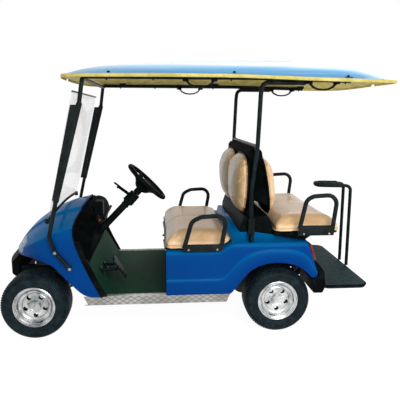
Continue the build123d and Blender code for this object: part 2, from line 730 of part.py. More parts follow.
def roof_handles():
    """Hand straps hung under the roof rails, two a side."""
    straps = []
    tubes = front_roof_frame() + rear_roof_frame()
    for x in strap_places:
        z = rail_z(x)
        line = ((x - 95, z), (x - 70, z - 52), (x + 70, z - 52), (x + 95, z))
        strap = tube([(a, -roof_rail_y, b) for a, b in line], 8, 18) - tubes
        straps.append(both(strap.solids().sort_by(Axis.Z)[0]))
    return Compound(children=straps[0].solids() + straps[1].solids())


def windscreen_x(z):
    (low_x, low_z), (high_x, high_z) = windscreen_line
    return low_x + (high_x - low_x) * (z - low_z) / (high_z - low_z)


def windscreen():
    low, high = windscreen_line
    slope = math.hypot(high[0] - low[0], high[1] - low[1])
    half = windscreen_half_width
    sheet = make_face([Line((-half, 30), (-half, slope)), Line((-half, slope), (half, slope)),
                       Line((half, slope), (half, 30)), ThreePointArc((half, 30), (0, 62), (-half, 30))])
    plane = Plane(origin=(low[0], 0, low[1]), x_dir=(0, 1, 0), z_dir=(high[1] - low[1], 0, low[0] - high[0]))
    return plane * extrude(sheet, amount=windscreen_sheet)


# ---- rear step

def footrest():
    deck = box(step_x, (-step_half_width, step_half_width), (step_top_z - step_sheet, step_top_z))
    return fillet(deck.edges().filter_by(Axis.Z), 60)


def grab_bar():
    x = step_x[1] + post_radius + 2
    line = ((x, -post_y, step_top_z - 26), (x + 4, -post_y, 640), (x + 10, -post_y, 900), (x - 24, -44, grip_z - 5),
            (x - 43.5, -12, grip_z))
    post = tube(line, post_radius, 26)
    foot = box((step_x[1], x), (-post_y - 20, -post_y + 20), (step_top_z - step_sheet, step_top_z))
    return both(post + foot) + rod((x - 31.5, 0, grip_z), (grip_x[0] + 6, 0, grip_z), 11)


def grab_grip():
    inner = rod((grip_x[0] + 6, 0, grip_z), (grip_x[1], 0, grip_z), 11)
    return rod((grip_x[0], 0, grip_z), (grip_x[1], 0, grip_z), 20) - inner


parts = {}
cowl, lenses = front_body()
parts["front_cowl"] = cowl
parts["headlamps"] = lenses

for place, x in (("front", 0), ("rear", wheelbase)):
    for hand, side in (("left", -1), ("right", 1)):
        move = Pos(x, side * wheel_y, tyre_radius)
        parts[f"tyre_{place}_{hand}"] = move * mirrored(tyre(), side)
        parts[f"rim_{place}_{hand}"] = move * mirrored(rim(), side)

for hand, side in (("left", -1), ("right", 1)):
    parts[f"knuckle_{hand}"] = mirrored(knuckle(), side)

for make in (tie_rod, front_axle, rear_axle, drive_motor, leaf_springs, frame_rails, cross_members, step_frame,
             battery_pack, floor_pan, floor_mat, sill_plates, front_bumper, dash, steering_column, steering_wheel,
             pedals, rear_body, rear_bumper, tail_lamps, direction_switch, front_seat_pan, seat_hinges,
             front_cushion, rear_cushion, rear_seat_pan, seat_riser, seat_back_shell, front_backrests,
             rear_backrests, front_armrests, rear_armrests, front_roof_frame, rear_roof_frame, roof, roof_handles,
             windscreen, footrest, grab_bar, grab_grip):
    parts[make.__name__] = make()

os.makedirs("parts", exist_ok=True)
for name, part in parts.items():
    export_step(Pos(-origin_x, 0, 0) * part, f"parts/{name}.step")
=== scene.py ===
import json
import math

import bmesh
import bpy
from mathutils import Matrix, Vector

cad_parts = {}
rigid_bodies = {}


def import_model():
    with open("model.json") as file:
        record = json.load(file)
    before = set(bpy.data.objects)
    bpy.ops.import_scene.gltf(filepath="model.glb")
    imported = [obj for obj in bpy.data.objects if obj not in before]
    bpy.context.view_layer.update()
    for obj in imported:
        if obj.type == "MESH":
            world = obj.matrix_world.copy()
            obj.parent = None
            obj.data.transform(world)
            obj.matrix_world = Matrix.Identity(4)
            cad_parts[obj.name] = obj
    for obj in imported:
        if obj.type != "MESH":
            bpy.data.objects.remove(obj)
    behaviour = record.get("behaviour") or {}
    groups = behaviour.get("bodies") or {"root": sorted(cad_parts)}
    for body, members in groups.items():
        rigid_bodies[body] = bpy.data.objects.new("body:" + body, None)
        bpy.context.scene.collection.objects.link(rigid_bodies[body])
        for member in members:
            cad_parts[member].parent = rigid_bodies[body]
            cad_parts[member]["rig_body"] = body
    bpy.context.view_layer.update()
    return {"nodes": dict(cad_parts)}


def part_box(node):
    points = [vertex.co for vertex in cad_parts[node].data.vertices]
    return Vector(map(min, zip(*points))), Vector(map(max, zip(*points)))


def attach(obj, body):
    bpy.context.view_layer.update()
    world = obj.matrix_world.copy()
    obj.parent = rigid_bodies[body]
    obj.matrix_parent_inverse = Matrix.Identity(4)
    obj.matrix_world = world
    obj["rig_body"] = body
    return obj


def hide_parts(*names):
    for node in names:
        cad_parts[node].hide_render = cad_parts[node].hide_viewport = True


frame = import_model()
nodes = frame["nodes"]
scene = bpy.context.scene

# Sizes are in millimetres, X behind the front axle, Y to the cart's right, Z up; finished meshes are in metres.
axleLow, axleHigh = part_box("front_axle")
frontAxleX = (axleLow.x + axleHigh.x) / 2
toRow = Matrix.Translation((frontAxleX, 0, 0)) @ Matrix.Scale(0.001, 4)
toCart = toRow.inverted()


def finishMesh(name, mesh, materials, body, stands=(), sharp=32):
    mesh.name = name
    mesh.materials.clear()
    for material in materials:
        mesh.materials.append(material)
    mesh.shade_smooth()
    mesh.set_sharp_from_angle(angle=math.radians(sharp))
    piece = bpy.data.objects.new(name, mesh)
    scene.collection.objects.link(piece)
    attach(piece, body)
    if stands:
        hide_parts(*stands)
    return piece


def toMesh(name, bm):  # ends a bmesh as a mesh
    mesh = bpy.data.meshes.new(name)
    bm.to_mesh(mesh)
    bm.free()
    return mesh


def finishPiece(name, bm, materials, body, stands=(), sharp=32):
    bmesh.ops.transform(bm, matrix=toRow, verts=bm.verts)
    return finishMesh(name, toMesh(name, bm), materials, body, stands, sharp)


def roundEdges(piece, width, segments=3, angle=35):
    bevel = piece.modifiers.new("Round edges", "BEVEL")
    bevel.width = width / 1000
    bevel.segments = segments
    bevel.limit_method = "ANGLE"
    bevel.angle_limit = math.radians(angle)
    bevel.harden_normals = True
    return piece


def smoothCage(piece, levels=2):
    subdivision = piece.modifiers.new("Smooth cage", "SUBSURF")
    subdivision.levels = levels
    subdivision.render_levels = levels
    return piece


def thicken(piece, thickness, offset=-1):
    solidify = piece.modifiers.new("Wall", "SOLIDIFY")
    solidify.thickness = thickness / 1000
    solidify.offset = offset
    return piece


def bakeModifiers(piece):
    bpy.context.view_layer.update()
    shaped = bpy.data.meshes.new_from_object(piece.evaluated_get(bpy.context.evaluated_depsgraph_get()))
    piece.modifiers.clear()
    old = piece.data
    piece.data = shaped
    bpy.data.meshes.remove(old)
    return piece


def vertsIn(geometry):
    return [g for g in geometry if isinstance(g, bmesh.types.BMVert)]


def edgesAt(verts):  # each edge once, in the same order at every run
    return list(dict.fromkeys(e for v in verts for e in v.link_edges))


def allOf(bm):
    return bm.verts[:] + bm.edges[:] + bm.faces[:]


def faceOutwards(bm, pick, inwards):  # turns a skin round if its most telling face looks inwards
    bmesh.ops.recalc_face_normals(bm, faces=bm.faces)
    if inwards(max(bm.faces, key=pick)):
        bmesh.ops.reverse_faces(bm, faces=bm.faces)


def paintNew(bm, known, index):  # gives a material slot to the faces made since known was taken
    for face in bm.faces:
        if face not in known:
            face.material_index = index
    return set(bm.faces)


def addRod(bm, start, end, radius, segments=16, radius2=None):
    start, end = Vector(start), Vector(end)
    matrix = axisMatrix((start + end) / 2, end - start)
    return bmesh.ops.create_cone(bm, cap_ends=True, segments=segments, radius1=radius,
                                 radius2=radius if radius2 is None else radius2, depth=(end - start).length,
                                 matrix=matrix)["verts"]


def along(table, x, column=1):  # straight-line reading of a table sorted by its first column
    if x <= table[0][0]:
        return table[0][column]
    for low, high in zip(table, table[1:]):
        if x <= high[0]:
            share = (x - low[0]) / (high[0] - low[0])
            return low[column] + (high[column] - low[column]) * share
    return table[-1][column]


def copyMesh(mesh, matrix):  # a baked copy for the same shape elsewhere
    bm = bmesh.new()
    bm.from_mesh(mesh)
    bmesh.ops.transform(bm, matrix=matrix, verts=bm.verts)
    return bm


def addTube(bm, points, radius, bend=0, roundness=6, steps=6):  # bent round bar with filleted corners
    points = [Vector(p) for p in points]
    knots = [(points[0], points[0], points[0])]
    for before, corner, after in zip(points, points[1:], points[2:]):
        back = (before - corner).normalized()
        ahead = (after - corner).normalized()
        turn = math.pi - back.angle(ahead)
        most = [(end - corner).length * 0.49 for end in (before, after)]  # a bend takes up to half of each run
        cut = min(bend * math.tan(turn / 2), *most)
        reach = cut * 4 / 3 * math.tan(turn / 4) / max(math.tan(turn / 2), 1e-6)  # handles of a round arc
        start = corner + back * cut
        end = corner + ahead * cut
        knots.append((start, start, start - back * reach))
        knots.append((end, end - ahead * reach, end))
    knots.append((points[-1], points[-1], points[-1]))
    curve = bpy.data.curves.new("tube", "CURVE")
    curve.dimensions = "3D"
    curve.resolution_u = steps
    curve.bevel_depth = radius
    curve.bevel_resolution = roundness
    curve.use_fill_caps = True
    spline = curve.splines.new("BEZIER")
    spline.bezier_points.add(len(knots) - 1)
    for knot, (place, left, right) in zip(spline.bezier_points, knots):
        knot.co = place
        knot.handle_left = left
        knot.handle_right = right
    addCurve(bm, curve)


def addCurve(bm, curve):  # turns a bevelled curve into faces in the mesh
    holder = bpy.data.objects.new("tube", curve)
    mesh = bpy.data.meshes.new_from_object(holder)
    bm.from_mesh(mesh)
    bpy.data.objects.remove(holder)
    bpy.data.curves.remove(curve)
    bpy.data.meshes.remove(mesh)


def addProfileSpin(bm, profile, steps, closed=False):  # profile of (radius, place along the Y axis)
    verts = [bm.verts.new((r, y, 0)) for r, y in profile]
    edges = [bm.edges.new(pair) for pair in zip(verts, verts[1:])]
    if closed:
        edges.append(bm.edges.new((verts[-1], verts[0])))
    bmesh.ops.spin(bm, geom=verts + edges, cent=(0, 0, 0), axis=(0, 1, 0), angle=math.tau, steps=steps, use_merge=True)


def addBlock(bm, x, y, z):  # box from (low, high) pairs
    size = [high - low for low, high in (x, y, z)]
    centre = [(high + low) / 2 for low, high in (x, y, z)]
    bmesh.ops.create_cube(bm, size=1, matrix=Matrix.Translation(centre) @ Matrix.Diagonal((*size, 1)))


def addSlab(bm, points, shift):  # flat outline of points, pulled out along a shift
    verts = [bm.verts.new(point) for point in points]
    made = bmesh.ops.extrude_face_region(bm, geom=[bm.faces.new(verts)])
    moved = vertsIn(made["geom"])
    bmesh.ops.translate(bm, vec=shift, verts=moved)
    return verts + moved


def addPlate(bm, outline, y0, y1):  # prism with an XZ outline
    return addSlab(bm, [(x, y0, z) for x, z in outline], (0, y1 - y0, 0))


def addSkin(bm, columns):  # open skin through columns of points, bridged one to the next
    last = None
    rows = []
    for column in columns:
        verts = [bm.verts.new(p) for p in column]
        edges = [bm.edges.new(pair) for pair in zip(verts, verts[1:])]
        if last:
            bmesh.ops.bridge_loops(bm, edges=last + edges)
        last = edges
        rows.append(verts)
    return rows


def setCrease(bm, rows, lengthwise, ends, endValue=0.7):  # sharpens a cage along chosen rows and end columns
    crease = bm.edges.layers.float.new("crease_edge")
    for low, high in zip(rows, rows[1:]):
        for i, value in lengthwise:
            bm.edges.get((low[i], high[i]))[crease] = value
    for row in ends:
        for low, high in zip(row, row[1:]):
            bm.edges.get((low, high))[crease] = endValue


def mirrorLeft(bm, merge=0.5):  # joins the left half to its mirror image
    bmesh.ops.mirror(bm, geom=allOf(bm), axis="Y", merge_dist=merge)
    bmesh.ops.recalc_face_normals(bm, faces=bm.faces)


def axisMatrix(place, direction):  # local Z along the direction
    return Matrix.Translation(place) @ Vector(direction).to_track_quat("Z", "Y").to_matrix().to_4x4()


boltShape = {"sides": 20, "washer": 1.6, "foot": 1.35, "top": 1.25, "taper": 0.96, "rounding": 0.35}


def addBolt(bm, place, direction, radius=9, height=5, hexagonal=False):  # washer and head, standing on a surface
    b = boltShape
    base = axisMatrix(place, direction)
    bmesh.ops.create_cone(bm, cap_ends=True, segments=b["sides"], radius1=radius * b["foot"], radius2=radius * b["top"],
                          depth=b["washer"], matrix=base @ Matrix.Translation((0, 0, b["washer"] / 2)))
    head = bmesh.ops.create_cone(bm, cap_ends=True, segments=6 if hexagonal else b["sides"], radius1=radius,
                                 radius2=radius * b["taper"], depth=height,
                                 matrix=base @ Matrix.Translation((0, 0, b["washer"] + height / 2)))
    top = base @ Vector((0, 0, b["washer"] + height))
    rim = [e for e in edgesAt(head["verts"])
           if all((v.co - top).dot(Vector(direction).normalized()) > -0.01 for v in e.verts)]
    bmesh.ops.bevel(bm, geom=rim, offset=height * b["rounding"], offset_type="OFFSET", segments=3, profile=0.5,
                    affect="EDGES", material=-1)


def dressNode(node, material, bevel, segments, merge=0.00002, flat=2):  # CAD shape with softened edges
    bm = bmesh.new()
    bm.from_mesh(nodes[node].data)
    bmesh.ops.remove_doubles(bm, verts=bm.verts, dist=merge)
    bmesh.ops.dissolve_limit(bm, angle_limit=math.radians(flat), verts=bm.verts, edges=bm.edges)
    name = node + "_finish"
    piece = finishMesh(name, toMesh(name, bm), [material], nodes[node]["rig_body"], (node,))
    roundEdges(piece, bevel, segments)


def newMaterial(name, **sockets):
    material = bpy.data.materials.new(name)
    material.use_nodes = True
    shader = material.node_tree.nodes["Principled BSDF"]
    for socket, value in sockets.items():
        shader.inputs[socket.replace("_", " ")].default_value = value
    return material


def addNode(material, kind, values=None, **settings):
    node = material.node_tree.nodes.new(kind)
    for name, value in settings.items():
        setattr(node, name, value)
    for socket, value in (values or {}).items():
        node.inputs[socket].default_value = value
    return node


def join(material, source, target):
    material.node_tree.links.new(source, target)


def objectPlace(material, stretch=(1, 1, 1), turn=(0, 0, 0)):
    place = addNode(material, "ShaderNodeTexCoord")
    mapping = addNode(material, "ShaderNodeMapping", {"Scale": stretch, "Rotation": turn})
    join(material, place.outputs["Object"], mapping.inputs["Vector"])
    return mapping.outputs["Vector"]


def noiseField(material, scale, detail=4, roughness=0.55, stretch=(1, 1, 1)):
    noise = addNode(material, "ShaderNodeTexNoise", {"Scale": scale, "Detail": detail, "Roughness": roughness})
    join(material, objectPlace(material, stretch), noise.inputs["Vector"])
    return noise.outputs["Fac"]


def cellField(material, scale):
    cells = addNode(material, "ShaderNodeTexVoronoi", {"Scale": scale})
    join(material, objectPlace(material), cells.inputs["Vector"])
    return cells.outputs["Distance"]


def rampOf(material, field, stops):  # stops of (position, colour)
    ramp = addNode(material, "ShaderNodeValToRGB")
    while len(ramp.color_ramp.elements) < len(stops):
        ramp.color_ramp.elements.new(0.5)
    for element, (position, colour) in zip(ramp.color_ramp.elements, stops):
        element.position = position
        element.color = (*colour, 1) if len(colour) == 3 else colour
    join(material, field, ramp.inputs["Fac"])
    return ramp.outputs["Color"]


def spread(material, field, low, high):  # a field from 0 to 1 turned into a range of numbers
    span = addNode(material, "ShaderNodeMapRange", {"To Min": low, "To Max": high})
    join(material, field, span.inputs["Value"])
    return span.outputs["Result"]


def facingField(material, axis, low, high, most=1.0):  # rises from 0 to most as faces turn along an axis
    facing = addNode(material, "ShaderNodeNewGeometry")
    parts = addNode(material, "ShaderNodeSeparateXYZ")
    join(material, facing.outputs["Normal"], parts.inputs["Vector"])
    span = addNode(material, "ShaderNodeMapRange", {"From Min": low, "From Max": high, "To Max": most})
    join(material, parts.outputs[axis], span.inputs["Value"])
    return span.outputs["Result"]


def blendColours(material, factor, first, second):  # each is a colour or a socket
    mix = addNode(material, "ShaderNodeMix", data_type="RGBA")
    places = {s.name: s for s in mix.inputs if s.type == ("VALUE" if s.name == "Factor" else "RGBA")}
    join(material, factor, places["Factor"])
    for name, value in (("A", first), ("B", second)):
        if isinstance(value, bpy.types.NodeSocket):
            join(material, value, places[name])
        else:
            places[name].default_value = (*value, 1)
    return next(s for s in mix.outputs if s.type == "RGBA")


def setColour(material, source):
    join(material, source, material.node_tree.nodes["Principled BSDF"].inputs["Base Color"])


def setRoughness(material, field, low, high):
    join(material, spread(material, field, low, high),
         material.node_tree.nodes["Principled BSDF"].inputs["Roughness"])


def addBump(material, field, distance, strength=1.0):  # distance in millimetres; bumps stack
    shader = material.node_tree.nodes["Principled BSDF"]
    bump = addNode(material, "ShaderNodeBump", {"Distance": distance / 1000, "Strength": strength})
    join(material, field, bump.inputs["Height"])
    for link in list(shader.inputs["Normal"].links):
        join(material, link.from_socket, bump.inputs["Normal"])
    join(material, bump.outputs["Normal"], shader.inputs["Normal"])


def mottled(material, base, dark, light, scale, low=0.35, high=0.65):
    field = noiseField(material, scale, 5, 0.6)
    setColour(material, rampOf(material, field, [(low, dark), (0.5, base), (high, light)]))
    return field


def makePaint(name, base, dark, light, roughness=0.24):
    paint = newMaterial(name, Specular_IOR_Level=0.004, Coat_Weight=0.12, Coat_IOR=1.22, Coat_Roughness=0.08)
    field = noiseField(paint, 1.6, 5)
    deep = rampOf(paint, field, [(0.3, dark), (0.7, base)])
    paintedSkyLight = facingField(paint, "Z", -0.1, 0.8)  # painted sky light: a little brighter where the panel looks upwards
    setColour(paint, blendColours(paint, paintedSkyLight, deep, light))
    setRoughness(paint, noiseField(paint, 9, 4), roughness - 0.05, roughness + 0.1)
    addBump(paint, noiseField(paint, 420, 2, 0.5), 0.06, 0.4)
    addBump(paint, field, 1.5, 0.1)
    return paint


def makePlastic(name, base, dark, light, roughness, grain=900, depth=0.15, shine=0.2):
    plastic = newMaterial(name, Specular_IOR_Level=shine)
    field = mottled(plastic, base, dark, light, 14)
    setRoughness(plastic, field, roughness - 0.08, roughness + 0.1)
    addBump(plastic, cellField(plastic, grain), depth, 0.5)
    addBump(plastic, noiseField(plastic, 30, 3), 0.5, 0.08)
    return plastic


def makeMetal(name, base, dark, light, roughness, stretch=(1, 1, 1), metallic=1.0, scale=160, bump=0.32, cloud=6):
    metal = newMaterial(name, Metallic=metallic)
    mottled(metal, base, dark, light, cloud)
    field = noiseField(metal, scale, 5, 0.6, stretch)
    setRoughness(metal, field, *roughness)
    addBump(metal, field, 0.05, bump)
    return metal


def makeLeather(name, base, dark, light, seam, paintedTopShade, shaded):
    leather = newMaterial(name, Sheen_Weight=0.12, Sheen_Roughness=0.4, Coat_Weight=0.3, Coat_Roughness=0.25,
                          Coat_IOR=1.4, Specular_IOR_Level=0.4)
    clouds = noiseField(leather, 7, 5, 0.6)
    skin = rampOf(leather, clouds, [(0.3, dark), (0.5, base), (0.72, light)])
    pores = cellField(leather, 620)
    skin = blendColours(leather, spread(leather, pores, 0.25, 0.0), skin, dark)
    mark = addNode(leather, "ShaderNodeAttribute", attribute_name="seam")
    skin = blendColours(leather, facingField(leather, "Z", 0.35, 1.0, 0.55), skin, paintedTopShade)  # painted shade: duller and browner where faces look upwards
    skin = blendColours(leather, facingField(leather, "X", -0.45, -0.95, 0.85), skin, shaded)
    setColour(leather, blendColours(leather, mark.outputs["Fac"], skin, seam))
    setRoughness(leather, clouds, 0.3, 0.46)
    addBump(leather, pores, 0.35, 0.35)
    addBump(leather, noiseField(leather, 70, 4), 1.2, 0.18)
    return leather


def makeRubber(name, base, dark, light, roughness=0.62, grain=260, depth=0.4):
    rubber = newMaterial(name, Specular_IOR_Level=0.1)
    field = mottled(rubber, base, dark, light, 22)
    setRoughness(rubber, field, roughness - 0.1, roughness + 0.12)
    addBump(rubber, noiseField(rubber, grain, 4), depth, 0.35)
    return rubber


def makeGlass(name, tint, roughness=0.02, alpha=0.2):  # thin sheet, so light passes it unbent
    glass = newMaterial(name, Roughness=roughness, Specular_IOR_Level=0.3)
    haze = noiseField(glass, 5, 4)
    setColour(glass, rampOf(glass, haze, [(0.3, [c * 0.9 for c in tint]), (0.7, tint)]))
    setRoughness(glass, haze, roughness, roughness + 0.03)
    join(glass, spread(glass, haze, alpha * 0.85, alpha * 1.15),
         glass.node_tree.nodes["Principled BSDF"].inputs["Alpha"])
    return glass


def makeTreadPlate(plate):  # bright plate with raised crossed bars
    metal = makeMetal("tread plate", plate["base"], plate["dark"], plate["light"], (0.32, 0.5), (6, 1, 1))
    bars = []
    for turn in plate["turns"]:
        wave = addNode(metal, "ShaderNodeTexWave", {"Scale": plate["scale"], "Distortion": 0.0}, bands_direction="X")
        join(metal, objectPlace(metal, (1, 1, 1.7), (0, math.radians(turn), 0)), wave.inputs["Vector"])
        bars.append(wave.outputs["Fac"])
    most = addNode(metal, "ShaderNodeMath", operation="MAXIMUM")
    for number, bar in enumerate(bars):
        join(metal, bar, most.inputs[number])
    shader = metal.node_tree.nodes["Principled BSDF"]
    skin = shader.inputs["Base Color"].links[0].from_socket
    mark = rampOf(metal, most.outputs["Value"], [(0.86, (0, 0, 0)), (0.96, (1, 1, 1))])
    setColour(metal, blendColours(metal, mark, skin, plate["bar"]))
    addBump(metal, most.outputs["Value"], 1.2, 0.5)
    return metal


def makeCanopyShell(shell):  # pale above, blue low on the sides, from the height on the part: the blue-to-white ramp is a painted sky reflection, its noisy streaks are painted reflection streaks, and the grey-blue at the very top is painted shade along the crown's edge
    skin = newMaterial("canopy shell", Coat_Weight=0.15, Coat_IOR=1.2, Coat_Roughness=0.08, Specular_IOR_Level=0.08)
    height = addNode(skin, "ShaderNodeSeparateXYZ")
    join(skin, objectPlace(skin), height.inputs["Vector"])
    span = addNode(skin, "ShaderNodeMapRange", {"From Min": shell["blueZ"] / 1000, "From Max": shell["whiteZ"] / 1000})
    join(skin, height.outputs["Z"], span.inputs["Value"])
    streaks = noiseField(skin, 2.2, 3, 0.5, (0.35, 1, 14))
    wave = addNode(skin, "ShaderNodeMath", operation="MULTIPLY_ADD")
    wave.inputs[1].default_value = 0.3
    join(skin, streaks, wave.inputs[0])
    join(skin, span.outputs["Result"], wave.inputs[2])
    setColour(skin, rampOf(skin, wave.outputs["Value"], shell["stops"]))
    setRoughness(skin, streaks, 0.2, 0.32)
    addBump(skin, noiseField(skin, 380, 2), 0.06, 0.35)
    return skin


# body blue: the last colour is painted sky light, used where a panel looks upwards
bodyBlue = makePaint("body blue", (0.0014, 0.044, 0.225), (0.0014, 0.034, 0.185), (0.0004, 0.125, 0.35))
# tan leather: the last two colours are painted shade, for faces that look upwards and faces turned to the front
leatherTan = makeLeather("tan leather", (0.86, 0.55, 0.29), (0.74, 0.44, 0.21), (0.94, 0.68, 0.43),
                         (0.16, 0.09, 0.045), (0.2, 0.145, 0.08), (0.2, 0.165, 0.075))
blackPlastic = makePlastic("black plastic", (0.0035, 0.005, 0.0052), (0.0022, 0.0033, 0.0034), (0.007, 0.01, 0.01),
                           0.45, shine=0.015)
panelPlastic = makePlastic("grained panel", (0.0022, 0.0032, 0.0034), (0.0014, 0.002, 0.0022), (0.005, 0.007, 0.007),
                           0.6, 420, 0.35, 0.004)
blackSteel = makePlastic("black steel", (0.0035, 0.008, 0.0085), (0.002, 0.005, 0.0055), (0.007, 0.014, 0.015),
                         0.36, 700, 0.08, 0.09)
foamBlack = makeRubber("black foam", (0.007, 0.011, 0.011), (0.004, 0.007, 0.007), (0.013, 0.019, 0.019),
                       0.55, 500, 0.5)
floorGreen = makeRubber("floor mat", (0.0045, 0.038, 0.02), (0.0035, 0.031, 0.016), (0.007, 0.046, 0.025),
                        0.75, 340, 0.5)
stepRubber = makeRubber("step rubber", (0.008, 0.024, 0.028), (0.004, 0.013, 0.016), (0.016, 0.041, 0.047),
                        0.66, 300, 0.5)
tyreRubber = makeRubber("tyre rubber", (0.006, 0.013, 0.017), (0.003, 0.008, 0.011), (0.011, 0.024, 0.03),
                        0.5, 180, 0.3)
# tread rubber: the tyre's rubber painted lighter and bluer, as painted light on the block tops against the darker
# grooves
treadRubberPaintedLit = makeRubber("tread blocks", (0.042, 0.085, 0.105), (0.03, 0.062, 0.078), (0.06, 0.11, 0.135),
                         0.6, 180, 0.3)
# wheel chrome: the wide dark-to-light clouds are painted reflection of the surroundings
chrome = makeMetal("wheel chrome", (0.56, 0.57, 0.57), (0.26, 0.27, 0.27), (0.78, 0.79, 0.79), (0.12, 0.22),
                   bump=0.02, cloud=8)
capSilver = makeMetal("cap silver", (0.5, 0.48, 0.53), (0.42, 0.41, 0.46), (0.58, 0.56, 0.6), (0.22, 0.32))
brightBolt = makeMetal("bright bolt", (0.4, 0.39, 0.37), (0.28, 0.27, 0.26), (0.52, 0.51, 0.5), (0.25, 0.4))
treadPlate = makeTreadPlate({"base": (0.36, 0.35, 0.33), "dark": (0.27, 0.26, 0.24), "light": (0.47, 0.46, 0.44),
                             "bar": (0.2, 0.19, 0.18), "turns": (45, -45), "scale": 8.5})
bareSteel = makeMetal("bare steel", (0.42, 0.42, 0.43), (0.3, 0.3, 0.31), (0.52, 0.52, 0.53), (0.3, 0.5), (1, 5, 1))
darkSteel = makeMetal("axle paint", (0.02, 0.021, 0.022), (0.012, 0.012, 0.013), (0.035, 0.035, 0.036), (0.4, 0.6),
                      metallic=0.2)
rimLiner = makePlastic("brake drum", (0.008, 0.009, 0.01), (0.005, 0.005, 0.006), (0.014, 0.015, 0.016), 0.6)
canopyCream = makePlastic("canopy cream", (0.62, 0.52, 0.15), (0.5, 0.42, 0.1), (0.72, 0.62, 0.24),
                          0.45, 500, 0.08, 0.1)
# canopy stops: blue near the brim rising to a painted white sky reflection, then painted grey-blue shade at the crown's
# top
canopyShell = makeCanopyShell({"blueZ": 1752, "whiteZ": 1925, "stops": [
    (0.2, (0.028, 0.2, 0.42)), (0.42, (0.06, 0.3, 0.56)), (0.6, (0.3, 0.56, 0.78)), (0.74, (0.82, 0.88, 0.92)),
    (0.94, (0.7, 0.79, 0.88)), (1.0, (0.4, 0.58, 0.8))]})
screenGlass = makeGlass("windscreen", (0.62, 0.64, 0.64), 0.03, 0.2)
lampGlass = makeGlass("lamp glass", (0.2, 0.36, 0.6), 0.03, 0.5)
lampBowl = makeMetal("lamp bowl", (0.8, 0.8, 0.82), (0.7, 0.7, 0.72), (0.88, 0.88, 0.9), (0.08, 0.2))
lampRed = makePlastic("lamp red", (0.2, 0.02, 0.01), (0.13, 0.012, 0.008), (0.3, 0.05, 0.015), 0.2, 200, 0.2)
batteryCase = makePlastic("battery case", (0.03, 0.031, 0.035), (0.02, 0.02, 0.024), (0.045, 0.046, 0.05), 0.55)
print("materials made")


view = {"place": (863, -3728, 1521), "yaw": 4.66, "pitch": 10.15, "roll": 0.19, "lens": 43.46, "sensor": 36, "far": 60}
studio = {
    "world": 0.62, "aim": (0, 0, 0.8), "floorSize": 30, "floorGrey": 0.95, "floorGlow": 0.86, "floorStrength": 1.12,
    "sky": [(0.5, (1, 1, 1)), (1.0, (0.5, 0.52, 0.56))],  # pale at the horizon, greyer overhead
    "lamps": {"key softbox": ((1.3, -4.9, 2.9), 3.6, 175), "top softbox": ((0.6, 0.2, 4.8), 4.5, 60),
              "rear softbox": ((3.2, 3.6, 3.6), 3.0, 60)},  # place and size in metres, watts
}


scene.view_settings.view_transform = "Standard"


def makeCamera():
    data = bpy.data.cameras.new("photo view")
    data.sensor_width = view["sensor"]
    data.lens = view["lens"]
    data.clip_end = view["far"]
    camera = bpy.data.objects.new("photo view", data)
    scene.collection.objects.link(camera)
    yaw = Matrix.Rotation(math.radians(-view["yaw"]), 4, "Z")
    pitch = Matrix.Rotation(math.radians(90 - view["pitch"]), 4, "X")
    roll = Matrix.Rotation(math.radians(view["roll"]), 4, "Z")
    camera.matrix_world = Matrix.Translation(toRow @ Vector(view["place"])) @ (yaw @ pitch @ roll)
    scene.camera = camera


def addLamp(name, place, size, power):
    data = bpy.data.lights.new(name, "AREA")
    data.shape = "DISK"
    data.size = size
    data.energy = power
    lamp = bpy.data.objects.new(name, data)
    scene.collection.objects.link(lamp)
    lamp.matrix_world = axisMatrix(place, Vector(place) - Vector(studio["aim"]))


def seenRays(owner):  # 1 for what shows to the camera itself, in a reflection or through glass
    path = addNode(owner, "ShaderNodeLightPath")
    seen = path.outputs["Is Camera Ray"]
    for kind in ("Is Glossy Ray", "Is Transmission Ray"):
        either = addNode(owner, "ShaderNodeMath", operation="MAXIMUM")
        join(owner, seen, either.inputs[0])
        join(owner, path.outputs[kind], either.inputs[1])
        seen = either.outputs[0]
    return seen


def blendShaders(owner, factor, first, second, output):
    mix = addNode(owner, "ShaderNodeMixShader")
    for source, socket in zip((factor, first, second), mix.inputs):
        join(owner, source, socket)
    join(owner, mix.outputs[0], output.inputs["Surface"])


def makeWorld():
    world = bpy.data.worlds.new("studio")
    scene.world = world
    world.use_nodes = True
    world.node_tree.nodes.clear()
    shown = addNode(world, "ShaderNodeBackground")
    light = addNode(world, "ShaderNodeBackground", {"Strength": studio["world"]})
    sky = addNode(world, "ShaderNodeTexCoord")
    height = addNode(world, "ShaderNodeSeparateXYZ")
    join(world, sky.outputs["Generated"], height.inputs["Vector"])
    join(world, rampOf(world, height.outputs["Z"], studio["sky"]), shown.inputs["Color"])
    blendShaders(world, seenRays(world), light.outputs[0], shown.outputs[0], addNode(world, "ShaderNodeOutputWorld"))


def makeFloor():
    bm = bmesh.new()
    bmesh.ops.create_grid(bm, x_segments=1, y_segments=1, size=studio["floorSize"])
    floor = bpy.data.objects.new("floor", toMesh("floor", bm))
    scene.collection.objects.link(floor)
    pale = newMaterial("pale floor", Base_Color=(*(studio["floorGrey"],) * 3, 1), Roughness=0.9, Specular_IOR_Level=0.1)
    glow = addNode(pale, "ShaderNodeEmission", {"Strength": studio["floorStrength"]})
    share = addNode(pale, "ShaderNodeMath", operation="MULTIPLY")
    share.inputs[1].default_value = studio["floorGlow"]
    join(pale, seenRays(pale), share.inputs[0])
    tree = pale.node_tree.nodes
    blendShaders(pale, share.outputs[0], tree["Principled BSDF"].outputs[0], glow.outputs[0], tree["Material Output"])
    floor.data.materials.append(pale)


makeCamera()
makeWorld()
makeFloor()
for name, (place, size, power) in studio["lamps"].items():
    addLamp(name, place, size, power)
print("camera and studio set")


